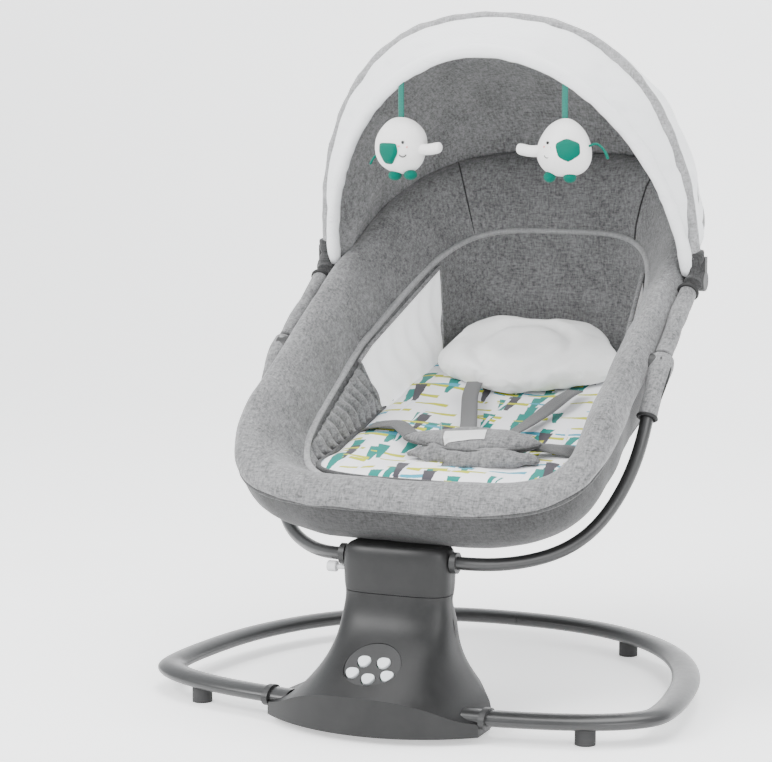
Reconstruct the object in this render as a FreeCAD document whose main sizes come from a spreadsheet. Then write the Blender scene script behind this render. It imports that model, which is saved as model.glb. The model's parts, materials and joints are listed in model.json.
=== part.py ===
"""Baby swing: a bassinet seat with a folding canopy on a motor-driven swivel tower.

Axes: +X to the right as seen from the foot end, +Y towards the head of the seat,
+Z up. The origin is on the floor, at the middle of the whole swing's footprint.
All sizes are in millimetres.
"""
import FreeCAD, Part
import Sketcher
import math
import os

from FreeCAD import Placement, Rotation, Vector

os.makedirs("parts", exist_ok=True)
doc = FreeCAD.newDocument("BabySwing")

# ---------------------------------------------------------------- driving dimensions

SIZES = {
    # where the main groups sit
    "tower_setback": 237.65,
    "ring_front": -35.0,
    "ring_height": 248.0,
    "ring_tilt": 30.0,
    "gap": 0.3,
    # base loop
    "loop_width": 620.0,
    "loop_centre": 31.0,
    "loop_front": 103.6,
    "loop_rear": 385.0,
    "loop_height": 26.5,
    "loop_tube_wide": 34.0,
    "loop_tube_high": 18.0,
    "loop_wall": 1.5,
    "foot_radius": 12.0,
    "foot_depth": 22.0,
    # tower
    "seam_height": 148.0,
    "seam_half_width": 64.5,
    "head_top": 205.0,
    "shell_wall": 3.0,
    "skirt_half_width": 131.0,
    "skirt_front": 132.0,
    "skirt_bottom": 8.0,
    "panel_y": -81.0,
    "panel_z": 78.0,
    "panel_tilt": 38.3,
    "button_radius": 7.6,
    "button_thick": 5.0,
    # drive
    "shaft_radius": 7.0,
    "bearing_radius": 14.0,
    "bearing_width": 9.0,
    "crank_throw": 8.0,
    "lever_reach": 42.0,
    "motor_x": -50.0,
    # arms and recline hubs
    "arm_radius": 7.8,
    "arm_wall": 1.5,
    "arm_height": 187.0,
    "hub_y": 212.0,
    "hub_z": 400.0,
    "hub_radius": 17.0,
    "hub_x": 235.0,
    "hub_pin_radius": 6.0,
    "sleeve_radius": 10.5,
    "rim_sleeve_radius": 10.0,
    # seat
    "ring_tube_radius": 8.0,
    "ring_half_width": 206.0,
    "collar_half_width": 228.0,
    "collar_length": 738.0,
    "collar_top": 34.0,
    "collar_bottom": -44.0,
    "binding_half_width": 184.0,
    "binding_foot": 89.0,
    "binding_head": 655.0,
    "floor_half_width": 164.0,
    "floor_tilt": -16.4,
    "floor_drop": -62.0,
    "cloth": 3.0,
    "pad_y": 83.0,
    "pad_z": 267.0,
    "pad_tilt": 12.8,
    "pad_half_width": 153.0,
    "pad_length": 462.0,
    "pad_thick": 18.0,
    "board_thick": 4.0,
    "strap_width": 21.0,
    "strap_thick": 2.0,
    # canopy
    "pivot_y": 357.0,
    "pivot_z": 490.0,
    "bow_radius": 3.0,
    "pivot_pin_radius": 2.5,
    "canopy_cloth": 2.5,
    "toy_radius": 34.0,
    "ribbon_width": 8.0,
    "ribbon_length": 43.0,
    "eyelet_radius": 7.2,
}

sheet = doc.addObject("Spreadsheet::Sheet", "Sizes")
for row, (name, value) in enumerate(SIZES.items(), start=1):
    sheet.set("A%d" % row, name)
    sheet.set("B%d" % row, str(value))
    sheet.setAlias("B%d" % row, name)
doc.recompute()


def size(name):
    """The value of a driving dimension, read from the sheet."""
    return float(sheet.get(name))


# ---------------------------------------------------------------- frames of reference

TOWER = Placement(Vector(0, -size("tower_setback"), 0), Rotation())
X_AXIS = Vector(1, 0, 0)
Y_AXIS = Vector(0, 1, 0)
Z_AXIS = Vector(0, 0, 1)


def tilted(y, z, angle):
    """A frame on the swing's middle plane, turned about X."""
    return TOWER.multiply(Placement(Vector(0, y, z), Rotation(X_AXIS, angle)))


SEAT = tilted(size("ring_front"), size("ring_height"), size("ring_tilt"))
PANEL = tilted(size("panel_y"), size("panel_z"), size("panel_tilt"))
PAD = tilted(size("pad_y"), size("pad_z"), size("pad_tilt"))
HUB = tilted(size("hub_y"), size("hub_z"), 0)
PIVOT = tilted(size("pivot_y"), size("pivot_z"), 0)

# ---------------------------------------------------------------- helpers

finished = []


def publish(label, thing, frame=TOWER):
    """Name a finished sub-part and put it in its frame."""
    thing.Label = label
    thing.Placement = frame.multiply(thing.Placement)
    finished.append(thing)
    return thing


def bind(thing, **cells):
    """Bind properties to expressions over the sheet."""
    for prop, expression in cells.items():
        thing.setExpression(prop, expression)
    return thing


def at(x, y, z, axis=Z_AXIS):
    """A placement at a point, with the local Z along axis."""
    return Placement(Vector(x, y, z), Rotation(Z_AXIS, axis))


def cylinder(radius, height, place=None):
    thing = doc.addObject("Part::Cylinder", "Cylinder")
    bind(thing, Radius=radius, Height=height)
    thing.Placement = place or Placement()
    return thing


def block(length, width, height, place=None):
    """A box centred on its placement in X and Y, standing on it in Z."""
    thing = doc.addObject("Part::Box", "Block")
    bind(thing, Length=length, Width=width, Height=height)
    doc.recompute()
    centre = Placement(Vector(-thing.Length.Value / 2, -thing.Width.Value / 2, 0), Rotation())
    thing.Placement = (place or Placement()).multiply(centre)
    return thing


def cut(base, tool):
    thing = doc.addObject("Part::Cut", "Cut")
    thing.Base = base
    thing.Tool = tool
    return thing


def fuse(*things):
    thing = doc.addObject("Part::MultiFuse", "Fuse")
    thing.Shapes = list(things)
    return thing


def common(base, tool):
    thing = doc.addObject("Part::Common", "Common")
    thing.Base = base
    thing.Tool = tool
    return thing


def group(*things):
    """Separate solids kept in one sub-part."""
    thing = doc.addObject("Part::Compound", "Group")
    thing.Links = list(things)
    return thing


def mirrored(thing):
    """The same piece on the other side of the swing's middle plane."""
    twin = doc.addObject("Part::Mirroring", "Mirrored")
    twin.Source = thing
    twin.Base = Vector(0, 0, 0)
    twin.Normal = X_AXIS
    return twin


def pair(thing):
    """A piece and its mirror image as one sub-part of two solids."""
    return group(thing, mirrored(thing))


def rounded(thing, radius, choose=None):
    """Fillet the edges that choose() picks, or all of them."""
    doc.recompute()
    edges = [i for i, e in enumerate(thing.Shape.Edges, 1) if choose is None or choose(e)]
    fillet = doc.addObject("Part::Fillet", "Rounded")
    fillet.Base = thing
    fillet.Edges = [(i, radius, radius) for i in edges]
    return fillet


def curve(points, closed=False):
    """A smooth curve through points, as one wire."""
    spline = Part.BSplineCurve()
    spline.interpolate(Points=points, PeriodicFlag=closed)
    return Part.Wire([spline.toShape()])


def guide(wire, name="Guide"):
    """A wire kept as an object, for a sweep or a loft to use."""
    thing = doc.addObject("Part::Feature", name)
    thing.Shape = wire
    return thing


def loft(wires):
    """A solid through closed outlines."""
    thing = doc.addObject("Part::Loft", "Loft")
    thing.Sections = [guide(wire, "Outline") for wire in wires]
    thing.Solid = True
    return thing


def sweep(section, wire):
    """A solid made by moving a section along a wire from its first point."""
    path = guide(wire, "Path")
    thing = doc.addObject("Part::Sweep", "Sweep")
    thing.Sections = [section]
    thing.Spine = (path, ["Edge1"])
    thing.Solid = True
    thing.Frenet = False
    return thing


def start_of(wire):
    """The placement of a section at a wire's first point, square to it."""
    edge = wire.Edges[0]
    point = edge.valueAt(edge.FirstParameter)
    direction = edge.tangentAt(edge.FirstParameter)
    return Placement(point, Rotation(Z_AXIS, direction))


def rod(wire, radius):
    """A round rod along a wire; radius is an expression."""
    circle = doc.addObject("Part::Circle", "RodSection")
    bind(circle, Radius=radius)
    circle.Placement = start_of(wire)
    return sweep(circle, wire)


def plate_body(name, thickness, draw):
    """A PartDesign body: a sketch on its XY plane, padded to thickness."""
    body = doc.addObject("PartDesign::Body", name)
    sketch = body.newObject("Sketcher::SketchObject", name + "Outline")
    plane = [f for f in body.Origin.OriginFeatures if f.Role == "XY_Plane"][0]
    sketch.AttachmentSupport = (plane, "")
    sketch.MapMode = "FlatFace"
    draw(sketch)
    pad = body.newObject("PartDesign::Pad", name + "Pad")
    pad.Profile = sketch
    pad.setExpression("Length", thickness)
    body.Tip = pad
    doc.recompute()
    return body


def draw_rectangle(sketch, width, depth):
    """A rectangle centred on the sketch's origin; width and depth are expressions."""
    corners = [Vector(-5, -5, 0), Vector(5, -5, 0), Vector(5, 5, 0), Vector(-5, 5, 0)]
    for i in range(4):
        sketch.addGeometry(Part.LineSegment(corners[i], corners[(i + 1) % 4]))
    for i in range(4):
        sketch.addConstraint(Sketcher.Constraint("Coincident", i, 2, (i + 1) % 4, 1))
    for i in (0, 2):
        sketch.addConstraint(Sketcher.Constraint("Horizontal", i))
    for i in (1, 3):
        sketch.addConstraint(Sketcher.Constraint("Vertical", i))
    sketch.addConstraint(Sketcher.Constraint("Symmetric", 0, 1, 2, 1, -1, 1))
    wide = sketch.addConstraint(Sketcher.Constraint("DistanceX", 0, 1, 0, 2, 10))
    deep = sketch.addConstraint(Sketcher.Constraint("DistanceY", 1, 1, 1, 2, 10))
    sketch.setExpression("Constraints[%d]" % wide, width)
    sketch.setExpression("Constraints[%d]" % deep, depth)


# ---------------------------------------------------------------- outlines by formula

QUARTER_POINTS = 10


def quarter(exponent):
    """Points of a quarter superellipse of unit size, from (0, 1) to (1, 0)."""
    angles = [math.pi / 2 * i / QUARTER_POINTS for i in range(QUARTER_POINTS + 1)]
    power = 2.0 / exponent
    return [(max(math.sin(a), 0) ** power, max(math.cos(a), 0) ** power) for a in angles]


def closed_outline(half):
    """A closed loop of (x, y) from its right-hand half, which starts and ends on x = 0."""
    return half + [(-x, y) for x, y in reversed(half[1:-1])]


def seat_half(half_width, foot, head, foot_round, head_round, foot_exp, head_exp, taper=0.0):
    """The right-hand half of a seat outline, from the foot to the head."""
    foot_part = [(half_width * a, foot + foot_round * (1 - b)) for a, b in quarter(foot_exp)]
    head_part = [(half_width * b, head - head_round * (1 - a)) for a, b in quarter(head_exp)]
    middle = (foot + head) / 2
    points = []
    for x, s in foot_part + head_part:
        along = max(0.0, (s - middle) / (head - middle))
        points.append((x * (1 - taper * along), s))
    return points


def in_plane(points, height, slope=0.0):
    """Seat-frame points at a height that changes with the distance along the seat."""
    return [Vector(x, s, height + slope * s) for x, s in points]


FRONT = -1
REAR = 1


def half_outline(height, half_width, depth, exponent, side, shrink=0.0, overrun=0.0):
    """The front or rear half of a horizontal outline round the tower axis.

    It is closed by a straight line at the axis, or overrun past it.
    """
    wide = half_width - shrink
    deep = side * (depth - shrink)
    right = [(wide * a, deep * b) for a, b in reversed(quarter(exponent))]
    left = [(-x, y) for x, y in reversed(right[:-1])]
    round_part = curve([Vector(x, y, height) for x, y in right + left])
    past = -side * overrun
    ends = [Vector(-wide, 0, height), Vector(-wide, past, height),
            Vector(wide, past, height), Vector(wide, 0, height)]
    if not overrun:
        ends = [ends[0], ends[3]]
    lines = [Part.LineSegment(p, q).toShape() for p, q in zip(ends, ends[1:])]
    return Part.Wire(round_part.Edges + lines)


# ---------------------------------------------------------------- base loop

def loop_path():
    """The centreline of the right half of the base loop, from the tower to the rear joint."""
    half_width = size("loop_width") / 2
    middle = size("loop_centre")
    height = size("loop_height")
    points = []
    for a, b in quarter(2.21):
        if half_width * a > 96:
            points.append(Vector(half_width * a, middle - size("loop_front") * b, height))
    for a, b in quarter(2.34)[1:]:
        points.append(Vector(half_width * b, middle + size("loop_rear") * a, height))
    return curve(points)


def loop_rod(wide, high):
    """An oval rod along the right half of the base loop."""
    wire = loop_path()
    edge = wire.Edges[0]
    direction = edge.tangentAt(edge.FirstParameter)
    sideways = Z_AXIS.cross(direction)
    section = doc.addObject("Part::Ellipse", "TubeSection")
    bind(section, MajorRadius=wide, MinorRadius=high)
    turn = Rotation(sideways, Z_AXIS, direction, "ZXY")
    section.Placement = Placement(edge.valueAt(edge.FirstParameter), turn)
    return sweep(section, wire)


def make_base_loop():
    wide = "Sizes.loop_tube_wide / 2"
    high = "Sizes.loop_tube_high / 2"
    outer = loop_rod(wide, high)
    inner = loop_rod(wide + " - Sizes.loop_wall", high + " - Sizes.loop_wall")
    rear = size("loop_centre") + size("loop_rear")
    past_middle = block("20", "60", "40", at(-9.9, rear, 6))
    half = cut(cut(outer, inner), past_middle)
    publish("base_tube_right", half)
    publish("base_tube_left", mirrored(half), Placement())
    plug = doc.addObject("Part::Ellipse", "PlugSection")
    bind(plug, MajorRadius=wide + " - Sizes.loop_wall - 0.8")
    bind(plug, MinorRadius=high + " - Sizes.loop_wall - 0.8")
    plug.Placement = Placement(Vector(-12, rear - 0.2, size("loop_height")),
                               Rotation(Y_AXIS, Z_AXIS, X_AXIS, "ZXY"))
    bar = doc.addObject("Part::Extrusion", "Plug")
    bar.Base = plug
    bar.DirMode = "Custom"
    bar.Dir = X_AXIS
    bar.LengthFwd = 24
    bar.Solid = True
    publish("base_joint_plug", bar)
    return outer


def make_feet(tube_outer):
    """Four rubber feet, each with its top shaped to the tube."""
    feet = []
    for x, y in ((241, -35), (160, 383)):
        feet.append(cylinder("Sizes.foot_radius", "Sizes.foot_depth", at(x, y, 0)))
    right = cut(group(*feet), tube_outer)
    publish("rubber_feet", pair(right))


# ---------------------------------------------------------------- tower

# height, half width, front depth, rear depth, roundness of the column's outlines
COLUMN = (
    (6, 170, 260, 80, 2.2),
    (30, 120, 190, 62, 2.3),
    (46, 98, 146, 54, 2.4),
    (62, 86, 110, 47, 2.5),
    (78, 77, 81, 42, 2.7),
    (97, 71, 54, 38, 2.9),
    (122, 67, 34, 34, 3.1),
    (148, 64.5, 27, 32, 3.2),
)


def skirt_prism(shrink, bottom, top):
    """The skirt's outline, a lens with cut-off ends, as an upright prism."""
    end = size("skirt_half_width") - shrink
    front = -size("skirt_front") + shrink
    corner_front = -84 + shrink
    corner_rear = -46 - shrink
    rear = 58 - shrink
    lines = [
        Part.Arc(Vector(-end, corner_front, bottom), Vector(0, front, bottom),
                 Vector(end, corner_front, bottom)).toShape(),
        Part.LineSegment(Vector(end, corner_front, bottom), Vector(end, corner_rear, bottom)).toShape(),
        Part.Arc(Vector(end, corner_rear, bottom), Vector(0, rear, bottom),
                 Vector(-end, corner_rear, bottom)).toShape(),
        Part.LineSegment(Vector(-end, corner_rear, bottom), Vector(-end, corner_front, bottom)).toShape(),
    ]
    prism = doc.addObject("Part::Extrusion", "Skirt")
    prism.Base = guide(Part.Wire(lines), "SkirtOutline")
    prism.DirMode = "Custom"
    prism.Dir = Z_AXIS
    prism.LengthFwd = top - bottom
    prism.Solid = True
    return prism


def column(side, shrink, overrun):
    """The front or rear half of the tower's flaring body inside its skirt outline."""
    sections = []
    for height, half_width, front, rear, exponent in COLUMN:
        depth = front if side == FRONT else rear
        sections.append(half_outline(height, half_width, depth, exponent, side, shrink, overrun))
    bottom = size("skirt_bottom") - (1 if shrink else 0)
    return common(loft(sections), skirt_prism(shrink, bottom, size("seam_height") + 1))


def hollow_half(make, side):
    """Half a shell: a solid half less the same half made smaller by the wall."""
    return cut(make(side, 0, 0), make(side, size("shell_wall"), 2))


def socket(wide, high, start, length):
    """An oval sleeve where a base tube enters the skirt."""
    section = doc.addObject("Part::Ellipse", "SocketSection")
    bind(section, MajorRadius=wide, MinorRadius=high)
    section.Placement = Placement(Vector(start, -67, size("loop_height")),
                                  Rotation(Y_AXIS, Z_AXIS, X_AXIS, "ZXY"))
    sleeve = doc.addObject("Part::Extrusion", "Socket")
    sleeve.Base = section
    sleeve.DirMode = "Custom"
    sleeve.Dir = X_AXIS
    sleeve.LengthFwd = length
    sleeve.Solid = True
    return sleeve


def make_tower(tube_outer):
    wall = size("shell_wall")
    tubes = fuse(tube_outer, mirrored(tube_outer))
    window = cylinder("34", "60", Placement(Vector(0, 0, -30), Rotation()))
    window.Placement = TOWER.inverse().multiply(PANEL).multiply(window.Placement)
    front = cut(hollow_half(column, FRONT), group(tubes, window))
    publish("tower_shell_front", front)
    inlet_hole = cylinder("5.8", "40", at(0, 70, 24, Vector(0, -1, 0)))
    publish("tower_shell_rear", cut(hollow_half(column, REAR), group(tubes, inlet_hole)))
    cover = skirt_prism(wall + size("gap"), size("skirt_bottom") + 0.5, size("skirt_bottom") + 3.5)
    publish("tower_base_cover", cut(cover, tubes))
    collar = socket("Sizes.loop_tube_wide / 2 + 3", "Sizes.loop_tube_high / 2 + 3",
                    size("skirt_half_width") + 0.1, 7)
    publish("tube_collars", pair(cut(collar, tube_outer)))
    places = [(side * 60, y) for side in (-1, 1) for y in (-92, 10)]
    publish("assembly_screws", group(*[cylinder("4", "3", at(x, y, 5.4)) for x, y in places]))


# where each button sits on the panel: sideways, up the slope
BUTTONS = {
    "button_power": (0.5, -18.5),
    "button_timer": (-21.0, -12.0),
    "button_volume": (22.0, -12.0),
    "button_music": (-12.0, 6.0),
    "button_swing": (12.0, 6.0),
}


def draw_button(sketch):
    """A three-cornered button outline with well-rounded corners."""
    radius = size("button_radius")
    points = []
    for i in range(24):
        angle = 2 * math.pi * i / 24
        reach = radius * (1 + 0.07 * math.cos(3 * angle - math.pi / 2))
        points.append(Vector(reach * math.cos(angle), reach * math.sin(angle), 0))
    outline = Part.BSplineCurve()
    outline.interpolate(Points=points, PeriodicFlag=True)
    sketch.addGeometry(outline)


def make_panel():
    plate = cylinder("33.6", "2.5", at(0, 0, -5))
    holes = [cylinder("Sizes.button_radius + 1", "6", at(x, y, -7)) for x, y in BUTTONS.values()]
    publish("control_panel", cut(plate, group(*holes)), PANEL)
    for name, (x, y) in BUTTONS.items():
        body = plate_body(name + "_body", "Sizes.button_thick", draw_button)
        cap = rounded(body, 1.2, lambda e: e.BoundBox.ZMin > 1)
        cap.Placement = at(x, y, -5.0)
        publish(name, cap, PANEL)
    board = plate_body("board", "1.6", lambda sketch: draw_rectangle(sketch, "54", "46"))
    board.Placement = at(0, -4, -10)
    publish("button_board", board, PANEL)


# ---------------------------------------------------------------- drive inside the tower

def make_drive():
    x = size("motor_x")
    reach = size("lever_reach")
    throw = size("crank_throw")
    publish("speaker", cylinder("15", "9", at(40, -84, 13)))
    barrel = cut(cylinder("5.4", "16", at(0, 42, 24, Y_AXIS)), cylinder("2.9", "12", at(0, 47, 24, Y_AXIS)))
    publish("power_inlet", barrel)
    case = cut(block("36", "32", "26", at(x, -reach, 12)), cylinder("3.2", "30", at(x, -reach, 28)))
    publish("gearbox_case", case)
    publish("drive_motor", cylinder("12", "36", at(x, -reach - 16.2, 25, Vector(0, -1, 0))))
    disc = cylinder("13", "4", at(x, -reach, 41))
    stub = cylinder("3", "12", at(x, -reach, 30))
    pin = cylinder("2.5", "9.5", at(x, -reach + throw, 41))
    publish("crank_disc", fuse(disc, stub, pin))
    middle = Vector(x / 2, -reach + throw / 2, 46)
    lean = Rotation(Z_AXIS, math.degrees(math.atan2(throw, x)))
    bar = block("%.3f" % math.hypot(x, throw), "9", "4", Placement(middle, lean))
    eyes = [cylinder("6", "4", at(x, -reach + throw, 46)), cylinder("6", "4", at(0, -reach, 46))]
    link = fuse(bar, *eyes)
    bores = [cylinder("2.55", "8", at(x, -reach + throw, 44)), cylinder("2.55", "8", at(0, -reach, 44))]
    publish("crank_link", cut(link, group(*bores)))
    bearing = cut(cylinder("Sizes.bearing_radius", "Sizes.bearing_width"),
                  cylinder("Sizes.shaft_radius + 0.05", "Sizes.bearing_width"))
    upper = cut(cylinder("Sizes.bearing_radius", "Sizes.bearing_width", at(0, 0, 117)),
                cylinder("Sizes.shaft_radius + 0.05", "Sizes.bearing_width", at(0, 0, 117)))
    bearing.Placement = at(0, 0, 22)
    publish("shaft_bearings", group(bearing, upper))
    low = cut(cylinder("20", "19.3", at(0, 0, 11.7)), cylinder("Sizes.bearing_radius", "12", at(0, 0, 22)))
    plate = fuse(cylinder("26", "11", at(0, 0, 115)), block("118", "20", "6", at(0, 0, 115)))
    seat = fuse(cylinder("Sizes.bearing_radius", "12", at(0, 0, 117)), cylinder("9", "12", at(0, 0, 110)))
    publish("bearing_carriers", group(low, cut(plate, seat)))
    publish("pivot_shaft", cylinder("Sizes.shaft_radius", "174", at(0, 0, 22)))
    lever = fuse(cylinder("13", "8", at(0, 0, 51)), block("13", "Sizes.lever_reach", "4", at(0, -reach / 2, 51)),
                 cylinder("6.5", "4", at(0, -reach, 51)))
    publish("swing_lever", cut(lever, cylinder("Sizes.shaft_radius", "20", at(0, 0, 45))))


# ---------------------------------------------------------------- swivel head and arms

# height, half width, front depth, rear depth of the head's outlines
HEAD = (
    (148.8, 64.5, 27, 32),
    (158, 65.5, 28.5, 33.5),
    (172, 66, 29.5, 34.5),
    (188, 66, 29.5, 34.5),
    (198, 64, 28, 33),
    (205, 57, 22, 27),
)

# the right arm's centreline, from inside the head to its recline disc
ARM_LINE = (
    (34, 0, 188), (70, 0, 187), (102, 16, 184.5), (140, 45, 186), (176, 78, 197),
    (204, 112, 221), (226, 135, 259), (242, 149, 305), (248, 163, 345), (248, 186, 378),
    (248, 204, 393),
)


def head_half(side, shrink, overrun):
    """The front or rear half of the swivel head; the smaller copy stops below the roof."""
    sections = []
    for height, half_width, front, rear in HEAD:
        depth = front if side == FRONT else rear
        lower = height - (shrink if height > 190 else 0)
        sections.append(half_outline(lower, half_width, depth, 3.2, side, shrink, overrun))
    return loft(sections)


def arm_points(first=0):
    return [Vector(*p) for p in ARM_LINE[first:]]


def make_head(arm_rod):
    knob_hole = cylinder("3.4", "40", at(-40, 0, 171, Vector(-1, 0, 0)))
    passage = rod(curve(arm_points()), "Sizes.arm_radius + 2 * Sizes.gap")
    holes = group(passage, mirrored(passage), knob_hole)
    publish("head_shell_front", cut(hollow_half(head_half, FRONT), holes))
    publish("head_shell_rear", cut(hollow_half(head_half, REAR), holes))
    bracket = block("96", "34", "24", at(0, 0, 175.2))
    shaft_hole = cylinder("Sizes.shaft_radius", "40", at(0, 0, 160))
    bore = rod(curve(arm_points()), "Sizes.arm_radius + Sizes.gap")
    publish("arm_bracket", cut(bracket, group(shaft_hole, bore, mirrored(bore))))
    ring = cylinder("12.5", "7", at(66.3, 0, size("arm_height"), X_AXIS))
    publish("arm_collars", pair(cut(ring, arm_rod)))
    stem = cylinder("3", "30", at(-50, 0, 171, Vector(-1, 0, 0)))
    knob = rounded(cylinder("6.5", "12", at(-79, 0, 171, Vector(-1, 0, 0))), 1.5)
    publish("lock_knob", fuse(stem, knob))


def make_arms(arm_rod):
    """Steel arm tubes, the sleeves over their tops and the fixed halves of the recline hubs."""
    hub_cut = cylinder("Sizes.hub_radius - 2", "60", at(210, size("hub_y"), size("hub_z"), X_AXIS))
    hollow = cut(arm_rod, rod(curve(arm_points()), "Sizes.arm_radius - Sizes.arm_wall"))
    arm = cut(hollow, hub_cut)
    publish("arm_tube_right", arm)
    publish("arm_tube_left", mirrored(arm), Placement())
    wrap = cut(rod(curve(arm_points(8)), "Sizes.sleeve_radius"), arm_rod)
    hub_clear = cylinder("Sizes.hub_radius + 0.5", "60", at(210, size("hub_y"), size("hub_z"), X_AXIS))
    publish("arm_sleeves", pair(cut(wrap, hub_clear)))
    disc = cylinder("Sizes.hub_radius - 2", "19", at(0, 0, 0, X_AXIS))
    bores = group(cylinder("Sizes.hub_pin_radius + Sizes.gap", "30", at(-5, 0, 0, X_AXIS)),
                  cylinder("9.4", "20", at(13, 0, 0, X_AXIS)))
    plain = rounded(disc, 2)
    fixed = cut(plain, bores)
    fixed.Placement = at(size("hub_x"), 0, 0)
    publish("recline_discs", pair_in(fixed, HUB))
    button = rounded(cylinder("9", "8", at(size("hub_x") + 14.6, 0, 0, X_AXIS)), 1.5)
    publish("recline_button_right", button, HUB)
    publish("recline_button_left", mirrored(button), Placement())


def pair_in(thing, frame):
    """A mirrored pair, with the pieces put in frame relative to the tower first."""
    thing.Placement = TOWER.inverse().multiply(frame).multiply(thing.Placement)
    return pair(thing)


# ---------------------------------------------------------------- seat

RING_PLANE = 8.0


def hub_along():
    """How far along the seat the recline hubs are."""
    place = SEAT.inverse().multVec(HUB.Base)
    return place.y


def ring_half(reach):
    """The right half of the ring tube's centreline; reach is its half width."""
    return seat_half(reach, 22, 716, 190, 255, 4.0, 2.8)


def ring_wire(part):
    """The foot or head hoop of the ring tube, from hub to hub."""
    split = hub_along()
    half = ring_half(size("ring_half_width"))
    if part == "foot":
        side = [p for p in half if p[1] < split - 20] + [(size("ring_half_width"), split - 0.8)]
    else:
        side = [(size("ring_half_width"), split + 0.8)] + [p for p in half if p[1] > split + 20]
    if part == "foot":
        line = [(-x, s) for x, s in reversed(side[1:])] + side
    else:
        line = side + [(-x, s) for x, s in reversed(side[:-1])]
    return curve([Vector(x, s, RING_PLANE) for x, s in line])


# height above the ring plane, half width, foot end, head end, foot and head rounding
COLLAR_OUTSIDE = (
    (-44, 206, 24, 712, 182, 250),
    (-14, 226, 5, 733, 195, 270),
    (12, 228, 2, 738, 197, 275),
    (34, 214, 16, 722, 185, 262),
)


def seat_loft(sections, foot_exp, head_exp, taper=0.0, slope=0.0):
    wires = []
    for height, half_width, foot, head, foot_round, head_round in sections:
        half = seat_half(half_width, foot, head, foot_round, head_round, foot_exp, head_exp, taper)
        wires.append(curve(in_plane(closed_outline(half), height, slope), closed=True))
    return loft(wires)


def make_collar():
    hole = seat_loft(
        ((-50, 184, 89, 655, 260, 210), (-8, 186, 80, 668, 262, 215), (40, 190, 52, 684, 264, 220)),
        5.0, 4.0, 0.2)
    publish("rim_collar", cut(seat_loft(COLLAR_OUTSIDE, 4.0, 2.8), hole), SEAT)


def make_ring():
    outer = {}
    for part in ("foot", "head"):
        wire = ring_wire(part)
        outer[part] = rod(wire, "Sizes.ring_tube_radius")
        inner = rod(wire, "Sizes.ring_tube_radius - Sizes.arm_wall")
        publish("ring_tube_" + part, cut(outer[part], inner), SEAT)
    return group(outer["foot"], outer["head"])


def make_recline_plates(ring_rods):
    """The moving halves of the recline hubs: a clamp on the ring, a disc and the hinge pin."""
    along = hub_along()
    across = size("hub_x")
    ring = size("ring_half_width")
    clamp = block("22", "34", "22", at(ring + 2, along, RING_PLANE - 11))
    stud = cylinder("8", "24", at(ring + 2, along, RING_PLANE, X_AXIS))
    plate = cylinder("Sizes.hub_radius", "5.2", at(across - 5.6, along, RING_PLANE, X_AXIS))
    pin = cylinder("Sizes.hub_pin_radius", "13", at(across - 1, along, RING_PLANE, X_AXIS))
    joined = fuse(clamp, stud, plate, pin)
    publish("recline_plates", pair(cut(joined, ring_rods)), SEAT)


def floor_section(half_width, foot, head, drop, foot_round=110, head_round=150, taper=0.0):
    """A closed outline in the tilted plane of the tub's floor, drop below the ring plane."""
    slope = math.tan(math.radians(size("floor_tilt")))
    half = seat_half(half_width, foot, head, foot_round, head_round, 3.4, 3.4, taper)
    return curve(in_plane(closed_outline(half), drop, slope), closed=True)


def tub_top(height, half_width, foot, head, taper=0.0):
    half = seat_half(half_width, foot, head, 180, 230, 4.0, 3.4, taper)
    return curve(in_plane(closed_outline(half), height), closed=True)


def make_tub():
    """The deep fabric tub hung from the collar, with a window cut in each side for the mesh."""
    drop = size("floor_drop")
    outside = loft([floor_section(164, 52, 584, drop + 9, taper=0.06),
                    tub_top(size("collar_bottom") - 0.3, 194, 40, 696, 0.08)])
    inside = loft([floor_section(159, 90, 574, drop + 29, taper=0.06),
                   tub_top(size("collar_bottom") + 6, 189, 82, 668, 0.18)])
    shell = cut(outside, inside)
    region = block("600", "210", "78", at(0, 452, -134))
    publish("tub", cut(shell, region), SEAT)
    publish("mesh_windows", common(shell, region), SEAT)


def make_pad():
    """The printed seat pad on its stiff board, the pillow and the harness, in the pad's frame."""
    length = size("pad_length")
    top = -size("pad_thick")
    slab = plate_body("pad", "Sizes.pad_thick", lambda sketch: draw_rectangle(
        sketch, "Sizes.pad_half_width * 2", "Sizes.pad_length"))
    corners = rounded(slab, 42, lambda e: e.BoundBox.ZLength > 10)
    pad = rounded(corners, 6, lambda e: e.BoundBox.ZMin > 10)
    pad.Placement = at(0, length / 2, top)
    publish("seat_pad", pad, PAD)
    board = plate_body("seat_board_body", "Sizes.board_thick", lambda sketch: draw_rectangle(
        sketch, "Sizes.pad_half_width * 2 - 8", "Sizes.pad_length - 8"))
    stiff = rounded(board, 38, lambda e: e.BoundBox.ZLength > 3)
    stiff.Placement = at(0, length / 2, top - size("board_thick") - 0.2)
    publish("seat_board", stiff, PAD)
    pillow = doc.addObject("Part::Ellipsoid", "Pillow")
    bind(pillow, Radius1="19", Radius2="112", Radius3="64")
    pillow.Placement = at(0, 372, 19.3)
    publish("head_pillow", pillow, PAD)
    straps = []
    for side in (-1, 1):
        shoulder = block("Sizes.strap_width", "118", "Sizes.strap_thick")
        turn = Rotation(Z_AXIS, side * 8)
        shoulder.Placement = Placement(Vector(side * 42, 244, 0.3), turn).multiply(shoulder.Placement)
        waist = block("48", "Sizes.strap_width", "Sizes.strap_thick", at(side * 116, 140, 0.3))
        straps += [shoulder, waist]
    straps.append(block("150", "26", "Sizes.strap_thick * 2", at(0, 84, 0.3)))
    publish("harness_straps", group(*straps), PAD)
    belt = doc.addObject("Part::Ellipsoid", "Belt")
    bind(belt, Radius1="7", Radius2="91", Radius3="36")
    belt.Placement = at(0, 138, 7.3)
    publish("belt_pad", belt, PAD)


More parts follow.
